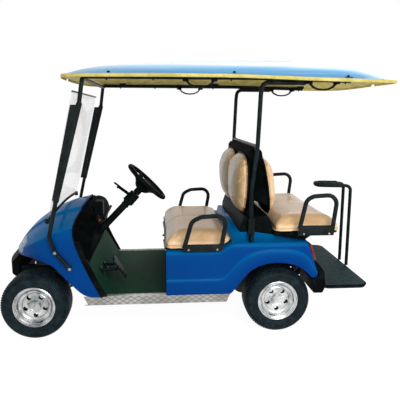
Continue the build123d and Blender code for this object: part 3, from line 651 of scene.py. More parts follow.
wheel = {"y": 477, "z": 230, "wheelbase": 1670, "holes": 5, "holeRadius": 16.5, "holeCircle": 69, "nutCircle": 47,
         "rimSteps": 60, "rimWall": 3.5, "holeEdge": 1.6, "valves": {"front": -38, "rear": 188}}
tread = {
    "pitches": 78, "block": 6.2, "chamfer": 1.3, "blockShare": 0.78, "grooveShare": 0.22, "foot": 206,
    "slant": 0.9, "slantFrom": 200, "rowMiddle": 29,
    "rows": ((-96.5, -75), (-70, -46), (-41, -17), (-12, 12), (17, 41), (46, 70), (75, 96.5)),
}


def makeTyreMesh():
    # radius and place across the tyre, from the bead over the sidewall and shoulder to the middle of the tread
    side = [(128.5, -86), (133, -93.5), (138, -97.5), (142.5, -99), (146, -97.6), (150, -98.4), (158, -100.6),
            (160, -101.8), (164, -101.8), (166, -101.1), (176, -102.2), (186, -101.8), (192, -100.4), (196, -99),
            (198, -99.6), (201.5, -98.6), (203.5, -96.5)]
    crown = [(214, -88), (221, -75), (222.5, -70), (223.6, -46), (223.8, -41), (224.3, -17), (224.4, -12)]
    left = side + crown
    profile = left + [(r, -y) for r, y in reversed(left)]
    pitch = math.tau / tread["pitches"]
    bm = bmesh.new()
    verts = [bm.verts.new((r, y, 0)) for r, y in profile]
    edges = [bm.edges.new(pair) for pair in zip(verts, verts[1:] + verts[:1])]
    for share, steps in ((tread["blockShare"], 2), (tread["grooveShare"], 1)):  # a block, then the groove behind it
        made = bmesh.ops.spin(bm, geom=edges + verts, cent=(0, 0, 0), axis=(0, 1, 0), angle=pitch * share, steps=steps)
        verts = vertsIn(made["geom_last"])
        edges = [g for g in made["geom_last"] if isinstance(g, bmesh.types.BMEdge)]
    faceOutwards(bm, lambda f: f.calc_center_median().xz.length, lambda f: f.normal.dot(f.calc_center_median()) < 0)
    for low, high in tread["rows"]:
        block = []
        for face in bm.faces:
            middle = face.calc_center_median()
            onBlock = abs(math.atan2(middle.z, middle.x)) < pitch * tread["blockShare"]
            if low - 1 < middle.y < high + 1 and middle.xz.length > tread["foot"] and onBlock:
                block.append(face)
        bmesh.ops.inset_region(bm, faces=block, thickness=tread["chamfer"], depth=tread["block"],
                               use_boundary=True, use_even_offset=True)
        # the block tops take the tread rubber, painted lighter as painted light
        for face in block:
            face.material_index = 1
    bmesh.ops.spin(bm, geom=allOf(bm), cent=(0, 0, 0), axis=(0, 1, 0),
                   angle=math.tau * (1 - 1 / tread["pitches"]), steps=tread["pitches"] - 1, use_duplicate=True)
    bmesh.ops.remove_doubles(bm, verts=bm.verts, dist=0.02)
    for v in bm.verts:  # slanted grooves, each row half a block on from its neighbour
        if v.co.xz.length > tread["slantFrom"]:
            turn = pitch * tread["slant"] * abs(abs(v.co.y) - tread["rowMiddle"]) / tread["rowMiddle"]
            v.co = Matrix.Rotation(turn, 3, "Y") @ v.co
    return toMesh("tyre", bm)


def roundPlaces(radius, first):  # evenly turned places on the wheel, one for each hole
    for number in range(wheel["holes"]):
        turn = math.radians(first + 360 / wheel["holes"] * number)
        yield radius * math.cos(turn), radius * math.sin(turn)


def makeRimMesh():
    bm = bmesh.new()
    # outside face from the rolled lip down the stepped bowl to the hub
    profile = [(136, -86), (139.5, -89), (141.5, -94), (140.5, -98), (137.5, -99.6), (134.5, -98.6), (133, -95),
               (131.5, -91), (128, -89.5), (126.6, -86), (125.5, -82.5), (121, -81), (118.5, -76), (114, -67),
               (106, -58), (97, -53), (91, -52.5), (88.5, -55.5), (85.5, -58), (80, -58.5), (68, -60), (56, -63),
               (50, -64.5), (43, -66), (40, -70), (36, -70)]
    addProfileSpin(bm, profile, wheel["rimSteps"])
    faceOutwards(bm, lambda f: -f.calc_center_median().xz.length, lambda f: f.normal.y > 0)
    bmesh.ops.solidify(bm, geom=bm.faces[:], thickness=wheel["rimWall"])
    bmesh.ops.recalc_face_normals(bm, faces=bm.faces)
    plate = bpy.data.objects.new("rim", toMesh("rim", bm))
    cutter = bmesh.new()
    for x, z in roundPlaces(wheel["holeCircle"], -90):
        addRod(cutter, (x, -120, z), (x, -30, z), wheel["holeRadius"], 28)
    tool = bpy.data.objects.new("holes", toMesh("holes", cutter))
    for thing in (plate, tool):
        scene.collection.objects.link(thing)
    cut = plate.modifiers.new("Holes", "BOOLEAN")
    cut.solver = "EXACT"
    cut.object = tool
    bevel = plate.modifiers.new("Hole edges", "BEVEL")
    bevel.width = wheel["holeEdge"]
    bevel.segments = 2
    bevel.limit_method = "ANGLE"
    bevel.angle_limit = math.radians(50)
    bakeModifiers(plate)
    bm = bmesh.new()
    bm.from_mesh(plate.data)
    for thing in (plate, tool):
        bpy.data.objects.remove(thing)
    known = set(bm.faces)
    drum = [(30, -38), (104, -38), (112, -34), (124, -30), (126, 60), (133, 84), (141, 92), (141, 97), (134, 97)]
    addProfileSpin(bm, drum, 48)
    addProfileSpin(bm, [(121, -78), (125, -72), (126.5, -30)], 48)
    known = paintNew(bm, known, 1)
    cap = [(37, -64), (37, -76), (35, -79), (31, -80), (29, -78.6), (26, -78.6), (24, -80.5), (10, -81.6), (0.01, -82)]
    addProfileSpin(bm, cap, 40)
    paintNew(bm, known, 2)
    for x, z in roundPlaces(wheel["nutCircle"], -54):  # wheel nuts between the holes
        addBolt(bm, (x, -64, z), (0, -1, 0), 7, 9, True)
    bmesh.ops.remove_doubles(bm, verts=bm.verts, dist=0.02)
    return toMesh("rim", bm)


def makeWheels():
    tyreShape, rimShape = makeTyreMesh(), makeRimMesh()
    for place, x in (("front", 0), ("rear", wheel["wheelbase"])):
        for hand, side in (("left", -1), ("right", 1)):
            body = f"wheel_{place}_{hand}"
            halfTurn = Matrix.Rotation(0 if side < 0 else math.pi, 4, "Z")
            turn = Matrix.Translation((x, side * wheel["y"], wheel["z"])) @ halfTurn
            bm = copyMesh(tyreShape, turn)
            finishPiece(f"tyre_{place}_{hand}_tread", bm, [tyreRubber, treadRubberPaintedLit], body, (f"tyre_{place}_{hand}",),
                        28)
            bm = copyMesh(rimShape, Matrix.Identity(4))
            known = set(bm.faces)
            angle = math.radians(wheel["valves"][place])
            out = Vector((math.cos(angle), 0, math.sin(angle)))
            foot = out * 121 + Vector((0, -74, 0))
            middle = foot - out * 7 + Vector((0, -16, 0))
            addRod(bm, foot, middle, 4.5, 12, 3.6)
            addRod(bm, middle, foot - out * 16 + Vector((0, -30, 0)), 4.4, 12, 4)
            paintNew(bm, known, 3)
            bmesh.ops.transform(bm, matrix=turn, verts=bm.verts)
            finishPiece(f"rim_{place}_{hand}_face", bm, [chrome, rimLiner, capSilver, blackPlastic], body,
                        (f"rim_{place}_{hand}",), 35)
    for mesh in (tyreShape, rimShape):
        bpy.data.meshes.remove(mesh)


makeWheels()
print("wheels made")


cowl = {
    "wall": 5, "crease": 0.55, "raise": 15, "trim": 6, "sharp": 50, "noseFoot": 529,
    # x, half width, shoulder z, crown z, shoulder radius
    "sections": ((-206, 84, 541, 550, 5), (-200, 140, 546, 561, 8), (-188, 205, 556, 580, 14),
                 (-150, 310, 575, 632, 30), (-100, 400, 600, 683, 45), (-50, 472, 632, 722, 55),
                 (0, 528, 664, 757, 60), (70, 578, 702, 798, 60), (150, 596, 746, 828, 60),
                 (285, 600, 792, 856, 60), (345, 600, 806, 868, 60), (470, 600, 826, 886, 60)),
    # columns: x along the lower edge, along the shoulder, along the crown
    "columns": ((-204, -205, -205), (-198, -199, -199), (-186, -187, -187), (-150, -150, -150), (-100, -100, -100),
                (-50, -50, -50), (5, 0, 0), (70, 55, 62), (142, 108, 122), (205, 160, 182), (268, 210, 240),
                (345, 252, 292), (448, 283, 338), (456, 287, 345)),
    "rearEdge": ((298, 456), (420, 394), (544, 339), (620, 308), (697, 283), (765, 280), (830, 287), (880, 318),
                 (915, 345), (980, 345)),
    "fender": ((-400, 528), (-150, 528), (-50, 556), (5, 562), (59, 551), (142, 528), (228, 422), (279, 371),
               (336, 298), (600, 298)),
    "window": (190, 392, 554, 640, 20),  # y from and to, z from and to, corner cut
}
headlamp = {
    "lens": 3, "bulb": 7, "turn": 62, "at": -262, "behind": (-104, -112, -92), "sweep": -0.75,
    "bowls": ((-262, 592, 34), (-336, 606, 28)),  # y, z, radius
    "bowlShape": ((0.4, 24), (0.75, 14), (1, 0)),  # share of the radius, depth
    "housing": ((-144, -180), (-118, -250), (-76, -320), (-30, -398)), "housingSides": ((0, 548), (6, 598), (26, 650)),
}


def cowlColumn(bottomX, shoulderX, crownX, last):
    points = []
    for t in (0.0, 0.06, 0.3, 0.55, 0.8, 1.0):  # up the side to just under the shoulder
        x = bottomX + (shoulderX - bottomX) * t ** 1.15
        for _ in range(6):
            half, shoulder, radius = (along(cowl["sections"], x, c) for c in (1, 2, 4))
            bottom = along(cowl["fender"], x)
            z = bottom + (shoulder - radius - bottom) * t
            if last:
                x = along(cowl["rearEdge"], z)
        swell = 4 * math.sin(math.pi * min(t * 1.1, 1))
        points.append((x, -(half - 4 + swell * 0.9), z))
    for t in (0.0, 0.18, 0.36, 0.5, 0.56, 0.8, 1.0):  # over the shoulder to the middle of the bonnet
        x = shoulderX + (crownX - shoulderX) * t
        for _ in range(6):
            half, shoulder, crown, radius = (along(cowl["sections"], x, c) for c in (1, 2, 3, 4))
            y = (half - radius * 0.3) * (1 - t) if t else half - radius * 0.25
            z = crown - (crown - shoulder) * (y / half) ** 2 - (radius * 0.16 if not t else 0)
            if last:
                x = along(cowl["rearEdge"], z)
        lift = cowl["raise"] * min(1, max(0, (x + 190) / 120)) if t > 0.53 else 0
        points.append((x, -y if t < 1 else 0, z + lift))
    return points


def cutWindows(bm):  # parts the skin along the lamp windows and gives the faces inside them
    y0, y1, z0, z1, cut = cowl["window"]
    windows = []
    for side in (-1, 1):
        centre = Vector((0, side * (y0 + y1) / 2, (z0 + z1) / 2))
        planes = [((0, side * y0, 0), (0, -side, 0)), ((0, side * y1, 0), (0, side, 0)),
                  ((0, 0, z0), (0, 0, -1)), ((0, 0, z1), (0, 0, 1))]
        for a, b in ((y0, z0), (y0, z1), (y1, z0), (y1, z1)):
            slant = Vector((0, side * (1 if a == y1 else -1), 1 if b == z1 else -1)).normalized()
            planes.append((Vector((0, side * a, b)) - slant * cut * 0.9, slant))
        planes = [(Vector(place), Vector(normal)) for place, normal in planes]
        for place, normal in planes:
            near = []
            for face in bm.faces:
                middle = face.calc_center_median()
                if middle.x < 40 and abs(middle.y - centre.y) < 140 and abs(middle.z - centre.z) < 70:
                    near.append(face)
            rims = dict.fromkeys(part for f in near for part in (*f.edges, *f.verts))
            bmesh.ops.bisect_plane(bm, geom=near + list(rims), plane_co=place, plane_no=normal)
        windows += [f for f in bm.faces if f.calc_center_median().x < 40 and all(
            (f.calc_center_median() - place).dot(normal) < 0 for place, normal in planes)]
    return windows


def makeHeadlamps(lensMesh):
    h = headlamp
    lens = finishPiece("headlamp_lenses", lensMesh, [lampGlass], "chassis", ("headlamps",), 50)
    thicken(lens, h["lens"])

    bm = bmesh.new()
    for y, z, size in h["bowls"]:  # reflector bowls behind each lens
        known = set(bm.verts)
        bowl = [(0.5, 26)] + [(size * share, depth) for share, depth in h["bowlShape"]] + [(size + 4, 0)]
        addProfileSpin(bm, bowl, 28)
        fresh = [v for v in bm.verts if v not in known]
        bowlX, bulbX, tipX = (x + (y - h["at"]) * h["sweep"] for x in h["behind"])
        place = Matrix.Translation((bowlX, y, z)) @ Matrix.Rotation(math.radians(h["turn"]), 4, "Z")
        bmesh.ops.transform(bm, verts=fresh, matrix=place)
        addRod(bm, (bulbX, y, z), (tipX, y + 6, z), h["bulb"], 12)
    bmesh.ops.remove_doubles(bm, verts=bm.verts, dist=0.05)
    mirrorLeft(bm)
    thicken(finishPiece("headlamp_bowls", bm, [lampBowl], "chassis", ()), 2)
    bm = bmesh.new()
    addSkin(bm, [[(x + back, y, z) for back, z in h["housingSides"]] for x, y in h["housing"]])
    mirrorLeft(bm)
    thicken(finishPiece("headlamp_housings", bm, [blackPlastic], "chassis", ()), 3)


def makeCowl():
    bm = bmesh.new()
    count = len(cowl["columns"])
    columns = [cowlColumn(*xs, number == count - 1) for number, xs in enumerate(cowl["columns"])]
    for place, (x, y, z) in enumerate(columns[-1]):  # keeps the rear edge tight to the last column
        columns[-2][place] = (x - 9, y, z)
    rows = addSkin(bm, columns)
    setCrease(bm, rows, ((6, cowl["crease"]), (9, 0.9), (10, 0.9)), (rows[0],))
    nose = [bm.edges.get(pair) for pair in zip(rows[0][5:], rows[0][6:])]
    made = bmesh.ops.extrude_edge_only(bm, edges=nose)
    for v in vertsIn(made["geom"]):
        v.co.z = cowl["noseFoot"]
    mirrorLeft(bm)
    piece = finishPiece("front_cowl_skin", bm, [bodyBlue], "chassis", ("front_cowl",), cowl["sharp"])
    smoothCage(piece, 3).modifiers[0].boundary_smooth = "PRESERVE_CORNERS"
    bakeModifiers(piece)
    bm = bmesh.new()
    bm.from_mesh(piece.data)
    bmesh.ops.transform(bm, matrix=toCart, verts=bm.verts)
    windows = cutWindows(bm)
    bm.faces.index_update()
    inside = {f.index for f in windows}
    lensMesh = bm.copy()
    outside = [f for number, f in enumerate(lensMesh.faces) if number not in inside]
    bmesh.ops.delete(lensMesh, geom=outside, context="FACES")
    bmesh.ops.delete(bm, geom=windows, context="FACES")
    bmesh.ops.transform(bm, matrix=toRow, verts=bm.verts)
    bm.to_mesh(piece.data)
    bm.free()
    piece.data.shade_smooth()
    piece.data.set_sharp_from_angle(angle=math.radians(cowl["sharp"]))
    thicken(piece, cowl["wall"])
    makeHeadlamps(lensMesh)

    bm = bmesh.new()
    addTube(bm, [(x + 1, y, z - 1) for x, y, z in columns[-1]], cowl["trim"], 30, 4, 3)
    mirrorLeft(bm, 0.01)
    finishPiece("cowl_trim", bm, [blackPlastic], "chassis", ())


makeCowl()
print("cowl made")


quarter = {
    "front": 892, "bulge": 5, "shoulder": 24, "inner": 578, "wall": 3, "deckHalf": 573,
    "top": ((892, 600), (1240, 600), (1262, 606), (1330, 642), (1356, 652), (1872, 652), (1950, 416)),
    "bottom": ((892, 298), (1336, 298), (1457, 451), (1500, 481), (1560, 503), (1620, 513), (1680, 514), (1740, 506),
               (1800, 484), (1855, 448), (1905, 394), (1950, 416)),
    "flare": ((892, 396), (1256, 383), (1272, 390), (1352, 486), (1400, 532), (1448, 567), (1510, 592), (1574, 604),
              (1700, 604), (1790, 594), (1850, 566), (1890, 520), (1925, 462), (1950, 420)),
    "columns": (892, 900, 940, 1060, 1180, 1238, 1264, 1290, 1320, 1336, 1352, 1380, 1415, 1448, 1480, 1520, 1570, 1630,
                1690, 1750, 1800, 1840, 1868, 1884, 1900, 1916, 1932),
}


def quarterColumn(x):
    low, flare, top = (along(quarter[key], x) for key in ("bottom", "flare", "top"))
    flare = min(max(flare, low + 0.35 * (top - low)), top - 14)
    bulge = quarter["bulge"] * min(1, max(0, (x - 1250) / 150))
    gap, above = flare - low, top - flare
    side = [(574, low + 4), (594, low + 1), (599, low + 5), (600 + bulge * 0.7, low + gap * 0.3),
            (600 + bulge, low + gap * 0.62), (600 + bulge * 0.5, low + gap * 0.84), (598.5, flare - min(8, gap * 0.06)),
            (592.5, flare + min(5, above * 0.1)), (591, flare + min(14, above * 0.3)),
            (591.2, flare + (above - 14) * 0.6)]
    drop = min(quarter["shoulder"], above * 0.5)
    side += [(590, top - drop), (585.5, top - drop * 0.4), (575, top - drop * 0.06), (560, top + 1), (545, top + 1)]
    return [(x, -y, z) for y, z in side]


def makeRearBody():
    bm = bmesh.new()
    columns = [quarterColumn(x) for x in quarter["columns"]]
    columns.insert(0, [(quarter["front"] + 1, max(y, -quarter["inner"]), z) for x, y, z in columns[0]])
    last = columns[-1]
    columns.append([(x + 8, y * 0.985, z) for x, y, z in last])
    columns.append([(x + 9, max(y * 0.96, -572), z) for x, y, z in last])
    rows = addSkin(bm, columns)
    setCrease(bm, rows, ((1, 0.6), (2, 0.4), (6, 0.75), (7, 0.75)), (rows[1], rows[-2]))
    faceOutwards(bm, lambda f: f.calc_area(), lambda f: f.normal.y > 0)
    copied = bmesh.ops.duplicate(bm, geom=allOf(bm))["geom"]
    bmesh.ops.scale(bm, vec=(1, -1, 1), verts=vertsIn(copied))
    bmesh.ops.reverse_faces(bm, faces=[g for g in copied if isinstance(g, bmesh.types.BMFace)])
    skin = finishPiece("rear_quarter_skins", bm, [bodyBlue], "chassis", (), 50)
    smoothCage(skin, 2).modifiers[0].boundary_smooth = "PRESERVE_CORNERS"
    bakeModifiers(skin)
    thicken(skin, quarter["wall"])

    bm = bmesh.new()  # deck, hump and end walls between the quarters
    bm.from_mesh(nodes["rear_body"].data)
    bmesh.ops.transform(bm, matrix=toCart, verts=bm.verts)
    bmesh.ops.remove_doubles(bm, verts=bm.verts, dist=0.02)
    for side in (-1, 1):
        bmesh.ops.bisect_plane(bm, geom=allOf(bm), plane_co=(0, side * quarter["deckHalf"], 0), plane_no=(0, side, 0),
                               clear_outer=True)
    finishPiece("rear_body_deck", bm, [bodyBlue], "chassis", ("rear_body",), 35)


makeRearBody()
print("rear body made")


canopy = {
    "rimZ": 1738, "rimHeight": 24, "brim": 40, "wall": 4, "screws": (540, 1340, 2096), "screwIn": 22,
    "steps": (0, 0.12, 0.25, 0.4, 0.55, 0.7, 0.82, 0.91, 0.965, 1), "ceiling": (0.93, 0.8, 0.6, 0.4, 0.2, 0),
    # x, half width, lift of the brim's underside, rise of the crown over the brim
    "sections": ((183, 46, 14, 1), (185, 120, 14, 2), (192, 280, 13, 4), (204, 370, 12, 6), (222, 450, 10, 8),
                 (252, 520, 7, 22), (292, 580, 5, 54), (385, 612, 4, 78), (560, 622, 5, 102), (730, 622, 7, 112),
                 (900, 622, 8, 120), (1300, 622, 8, 132), (1500, 622, 4, 140), (1800, 621, -7, 152),
                 (2080, 616, -13, 160), (2226, 609, -16, 149), (2345, 592, -16, 100), (2420, 556, -15, 62),
                 (2462, 500, -13, 36), (2485, 430, -11, 14), (2500, 300, -9, 4), (2509, 130, -7, 2), (2511, 46, -7, 1)),
}


def canopyHeight(y, half, edge, rise):  # height of the crowned middle at a distance from the centre line
    reach = half - canopy["brim"]
    return edge + 2 + rise * (1 - min(1, abs(y) / reach) ** 2.1)


def makeCanopy():
    bm = bmesh.new()
    columns = []
    for x, half, lift, rise in canopy["sections"]:  # crowned shell from the inner edge of the brim to the middle
        edge = canopy["rimZ"] + lift + canopy["rimHeight"]
        reach = half - canopy["brim"] + 4
        columns.append([(x, -reach * s, canopyHeight(reach * s, half, edge, rise)) for s in reversed(canopy["steps"])])
    addSkin(bm, columns)
    mirrorLeft(bm)
    faceOutwards(bm, lambda f: f.calc_center_median().z, lambda f: f.normal.z < 0)
    shell = finishPiece("canopy_shell", bm, [canopyShell], "chassis", ("roof",), 60)
    smoothCage(shell, 2)
    bakeModifiers(shell)
    thicken(shell, canopy["wall"])

    bm = bmesh.new()
    columns = []
    for x, half, lift, rise in canopy["sections"]:  # rolled brim, then the ceiling inside it
        low = canopy["rimZ"] + lift
        top = low + canopy["rimHeight"]
        inner = half - canopy["brim"]
        ring = [(inner - 6, top - 4), (inner + 2, top + 1), (half - 8, top), (half - 2, top - 4), (half, top - 10),
                (half, low + 7), (half - 3, low + 2), (half - 9, low), (half - 15, low + 2), (half - 18, low + 8),
                (half - 21, top - 8), (inner - 4, top - 3)]
        ceiling = [(share * (inner - 6), canopyHeight(share * inner, half, top, rise) - 11)
                   for share in canopy["ceiling"]]
        columns.append([(x, -max(y, 1), z) for y, z in ring] + [(x, -max(y, 0), z) for y, z in ceiling])
    addSkin(bm, columns)
    mirrorLeft(bm)
    brim = finishPiece("canopy_brim", bm, [canopyCream], "chassis", (), 60)
    smoothCage(brim, 1)

    bm = bmesh.new()
    for x in canopy["screws"]:  # screw caps along the crown's edge, and washers under the ceiling
        half, lift, rise = (along(canopy["sections"], x, c) for c in (1, 2, 3))
        y = half - canopy["brim"] - canopy["screwIn"]
        z = canopyHeight(y, half, canopy["rimZ"] + lift + canopy["rimHeight"], rise)
        addBolt(bm, (x, -y, z + 1), (0, -0.35, 1), 8, 6)
        addBolt(bm, (x, -y, z - 14), (0, 0.2, -1), 7, 5)
    mirrorLeft(bm)
    finishPiece("canopy_screws", bm, [blackPlastic], "chassis", ())


makeCanopy()
print("canopy made")


pillarFrame = {
    "radius": 14, "bend": 46, "sleeve": 19, "rail": 552, "crossX": 376, "crossZ": 1738, "crossRadius": 12,
    "line": ((262, -616, 506), (168, -616, 622), (131, -612, 727), (186, -604, 962), (352, -574, 1577),
             (371, -566, 1706), (378, -552, 1749), (1500, -552, 1749), (2115, -552, 1735)),
    "brackets": (545, 1340, 2095), "clamps": (1620, 1780), "clampLow": 1716,
    "bolts": ((168, 622), (258, 511)), "marks": (526, 820, 1322, 1639, 2080),
}
rearFrame = {
    "radius": 15, "bend": 58, "y": 530, "crossRadius": 12,
    "line": ((1478, 652), (1475, 1016), (1509, 1304), (1522, 1640), (1530, 1722), (1818, 1722)),
    "foot": ((1456, 1500), (-545, -506), (700, 815)), "footBolts": (728, 788),
    "ends": ((1495, 1523), (500, 514), (1262, 1318)),  # flanges at the crossbar's ends
}
screen = {"low": (116, 800), "high": (312, 1655), "half": 556, "sheet": 5, "seal": 8, "bar": 6, "panes": 12,
          "sag": (30, 32), "feet": ((104, 128), (548, 572), (806, 840))}
straps = {
    "places": (1120, 1928), "half": 92, "width": 26, "thick": 11, "y": 552, "foot": 16,
    "bow": ((0.72, -38), (0.4, -52)), "shoulder": (6, -18), "deepest": -56,
}


def railZ(x):  # height of the roof rail's middle
    (_, _, z), (x0, _, z0), (x1, _, z1) = pillarFrame["line"][-3:]
    return z + min(0, (x - x0) * (z1 - z0) / (x1 - x0))


def makeRoofRails():
    f = pillarFrame
    bm = bmesh.new()
    addTube(bm, f["line"], f["radius"], f["bend"], 5, 5)
    for x in f["brackets"]:
        addBlock(bm, (x - 28, x + 28), (-f["rail"] - 16, -f["rail"] + 16), (railZ(x) + 4, railZ(x) + 24))
    for x in f["clamps"]:
        addBlock(bm, (x - 18, x + 18), (-f["rail"] + 4, -rearFrame["y"] - 2), (f["clampLow"], railZ(x)))
    for x in f["marks"]:  # bolt ends under the rail
        addBolt(bm, (x, -f["rail"], railZ(x) - f["radius"] + 1), (0, 0, -1), 5, 7)
    mirrorLeft(bm, 0.01)
    addTube(bm, [(f["crossX"], side * f["rail"], f["crossZ"]) for side in (-1, 1)], f["crossRadius"], 0, 5, 2)
    finishPiece("canopy_pillars", bm, [blackSteel], "chassis", ("front_roof_frame",), 40)

    bm = bmesh.new()
    (x0, y0, z0), (x1, y1, z1) = f["line"][3], f["line"][4]
    addTube(bm, [(x0, y0, z0), (x1, y1, z1)], f["sleeve"], 0, 5, 2)
    for share in (0.0, 1.0):  # end caps of the sleeve
        here = Vector((x0, y0, z0)).lerp(Vector((x1, y1, z1)), share)
        away = (Vector((x1, y1, z1)) - Vector((x0, y0, z0))).normalized() * (1 if share else -1)
        addRod(bm, here, here + away * 12, f["sleeve"], 24, f["radius"] + 1)
    (lowX, lowZ), (highX, highZ) = screen["low"], screen["high"]
    glass = [lowX + (z - lowZ) * (highX - lowX) / (highZ - lowZ) + 7 for z in (z0, z1)]
    outline = [(glass[0], z0 + 4), (glass[1], z1 - 4), (x1, z1 - 4), (x0, z0 + 4)]
    addPlate(bm, outline, y0 + 4, -screen["half"] + 16)
    mirrorLeft(bm, 0.01)
    finishPiece("windscreen_sleeves", bm, [foamBlack], "chassis", (), 40)

    bm = bmesh.new()
    for x, z in f["bolts"]:
        addBolt(bm, (x, -630, z), (0, -1, 0), 8, 5, True)
    mirrorLeft(bm, 0.01)
    finishPiece("pillar_bolts", bm, [brightBolt], "chassis", ())


def makePosts():
    r = rearFrame
    bm = bmesh.new()
    addTube(bm, [(x, -r["y"], z) for x, z in r["line"]], r["radius"], r["bend"], 5, 5)
    addBlock(bm, *r["foot"])
    for z in r["footBolts"]:
        addBolt(bm, (r["line"][0][0], r["foot"][1][0], z), (0, -1, 0), 7, 5, True)
    mirrorLeft(bm, 0.01)
    crossX, crossZ = r["line"][2]
    addTube(bm, [(crossX, side * r["y"], crossZ) for side in (-1, 1)], r["crossRadius"], 0, 5, 2)
    for side in (-1, 1):
        x, y, z = r["ends"]
        addBlock(bm, x, sorted(side * edge for edge in y), z)
    finishPiece("canopy_posts", bm, [blackSteel], "chassis", ("rear_roof_frame",), 40)


def makeStraps():
    s = straps
    bm = bmesh.new()
    for x in s["places"]:  # bowed ribbon between two feet on the rail
        top, half = railZ(x) - 6, s["half"]
        bow = [(-half, 0), (-half + s["shoulder"][0], s["shoulder"][1])] + [(-half * a, b) for a, b in s["bow"]]
        line = bow + [(0, s["deepest"])] + [(-a, b) for a, b in reversed(bow)]
        width = s["width"] / 2
        addSkin(bm, [[(x + a, -s["y"] - width, top + b), (x + a, -s["y"] + width, top + b)] for a, b in line])
        for foot in (-half, half):
            reach = s["foot"]
            addBlock(bm, (x + foot - reach, x + foot + reach), (-s["y"] - 13, -s["y"] + 13), (top - reach, top + 5))
    mirrorLeft(bm, 0.01)
    strap = finishPiece("hand_straps", bm, [blackPlastic], "chassis", ("roof_handles",), 40)
    thicken(strap, s["thick"], 0)
    roundEdges(strap, 1.5, 2)


def screenPoint(y, height):  # on the windscreen's front face, height measured up the slope
    (x0, z0), (x1, z1) = screen["low"], screen["high"]
    slope = math.hypot(x1 - x0, z1 - z0)
    return (x0 + (x1 - x0) * height / slope, y, z0 + (z1 - z0) * height / slope)


def makeScreen():
    s = screen
    slope = math.hypot(s["high"][0] - s["low"][0], s["high"][1] - s["low"][1])
    ys = [-s["half"] + i * s["half"] / (s["panes"] / 2) for i in range(s["panes"] + 1)]
    bm = bmesh.new()
    low = {y: s["sag"][0] + s["sag"][1] * (1 - (y / s["half"]) ** 2) for y in ys}  # the lower edge is bowed
    addSkin(bm, [[screenPoint(y, low[y]), screenPoint(y, slope * 0.5), screenPoint(y, slope)] for y in ys])
    sheet = finishPiece("windscreen_sheet", bm, [screenGlass], "chassis", ("windscreen",))
    thicken(sheet, s["sheet"], 1)
    bm = bmesh.new()
    addSkin(bm, [[screenPoint(y, low[y] - 8), screenPoint(y, low[y] + 12)] for y in ys])
    thicken(finishPiece("windscreen_seal", bm, [blackPlastic], "chassis", ()), s["seal"], 0)
    bm = bmesh.new()
    addTube(bm, [screenPoint(side * (s["half"] + 8), slope + 2) for side in (-1, 1)], s["bar"], 0, 4, 2)
    for side in (-1, 1):
        x, y, z = s["feet"]
        addBlock(bm, x, sorted(side * edge for edge in y), z)
    finishPiece("windscreen_bar", bm, [blackSteel], "chassis", ())


makeRoofRails()
makePosts()
makeStraps()
makeScreen()
print("frames and windscreen made")


cushionShape = {
    "cloth": {"quality": 5, "mass": 0.25, "tension_stiffness": 12, "compression_stiffness": 12,
              "bending_stiffness": 0.4, "use_pressure": True, "uniform_pressure_force": 4},
    "voxel": 10, "frames": 20, "cap": 9, "edge": 40, "round": 150, "start": 7, "seamDepth": 3.2,
    "corner": 46, "dip": 7, "arc": (0, 0.4, 0.8, 1.17, math.pi / 2),
    "hollow": 9, "groove": 5, "seam": 17, "panel": (150, 400, 95, 105),
}
padShape = {
    "outline": ((20, 910), (40, 864), (100, 834), (250, 822), (370, 830), (452, 874), (506, 956), (530, 1050),
                (530, 1130), (514, 1188), (474, 1228), (400, 1248), (280, 1254), (150, 1252), (74, 1236), (34, 1196),
                (20, 1140)),
    "thick": 90, "rearThick": 74, "edge": 24, "round": 190, "voxel": 9, "seamDepth": 2.6,
    "centre": (274, 1046), "shrink": 0.972, "seam": 15, "panel": (150, 420, 960, 1150),
    "frontX": 1454, "lean": (1612, 890, 1545, 1270), "boardX": 1446, "board": 12, "rearBoard": 13,
}


def edgeGap(point, outline):  # distance from a point in a flat outline to its nearest side
    best = 1e9
    for a, b in zip(outline, outline[1:] + outline[:1]):
        ax, ay = a
        dx, dy = b[0] - ax, b[1] - ay
        t = max(0, min(1, ((point[0] - ax) * dx + (point[1] - ay) * dy) / (dx * dx + dy * dy)))
        best = min(best, math.hypot(point[0] - ax - dx * t, point[1] - ay - dy * t))
    return best


def swell(pad, start):  # short cloth run under pressure, its back held and its travel capped
    pins = pad.vertex_groups.new(name="base")
    pins.add([v.index for v in pad.data.vertices if v.co.z < 0.003], 1.0, "REPLACE")
    cloth = pad.modifiers.new("Cloth", "CLOTH")
    for setting, value in cushionShape["cloth"].items():
        setattr(cloth.settings, setting, value)
    cloth.settings.vertex_group_mass = "base"
    cloth.settings.effector_weights.gravity = 0
    cloth.point_cache.frame_start = 1
    cloth.point_cache.frame_end = cushionShape["frames"]
    for number in range(1, cushionShape["frames"] + 1):
        scene.frame_set(number)
    bakeModifiers(pad)
    scene.frame_set(1)
    cap = cushionShape["cap"] / 1000
    for v, place in zip(pad.data.vertices, start):
        move = v.co - place
        if move.length > cap:
            v.co = place + move.normalized() * cap
        v.co.z = max(v.co.z, 0)


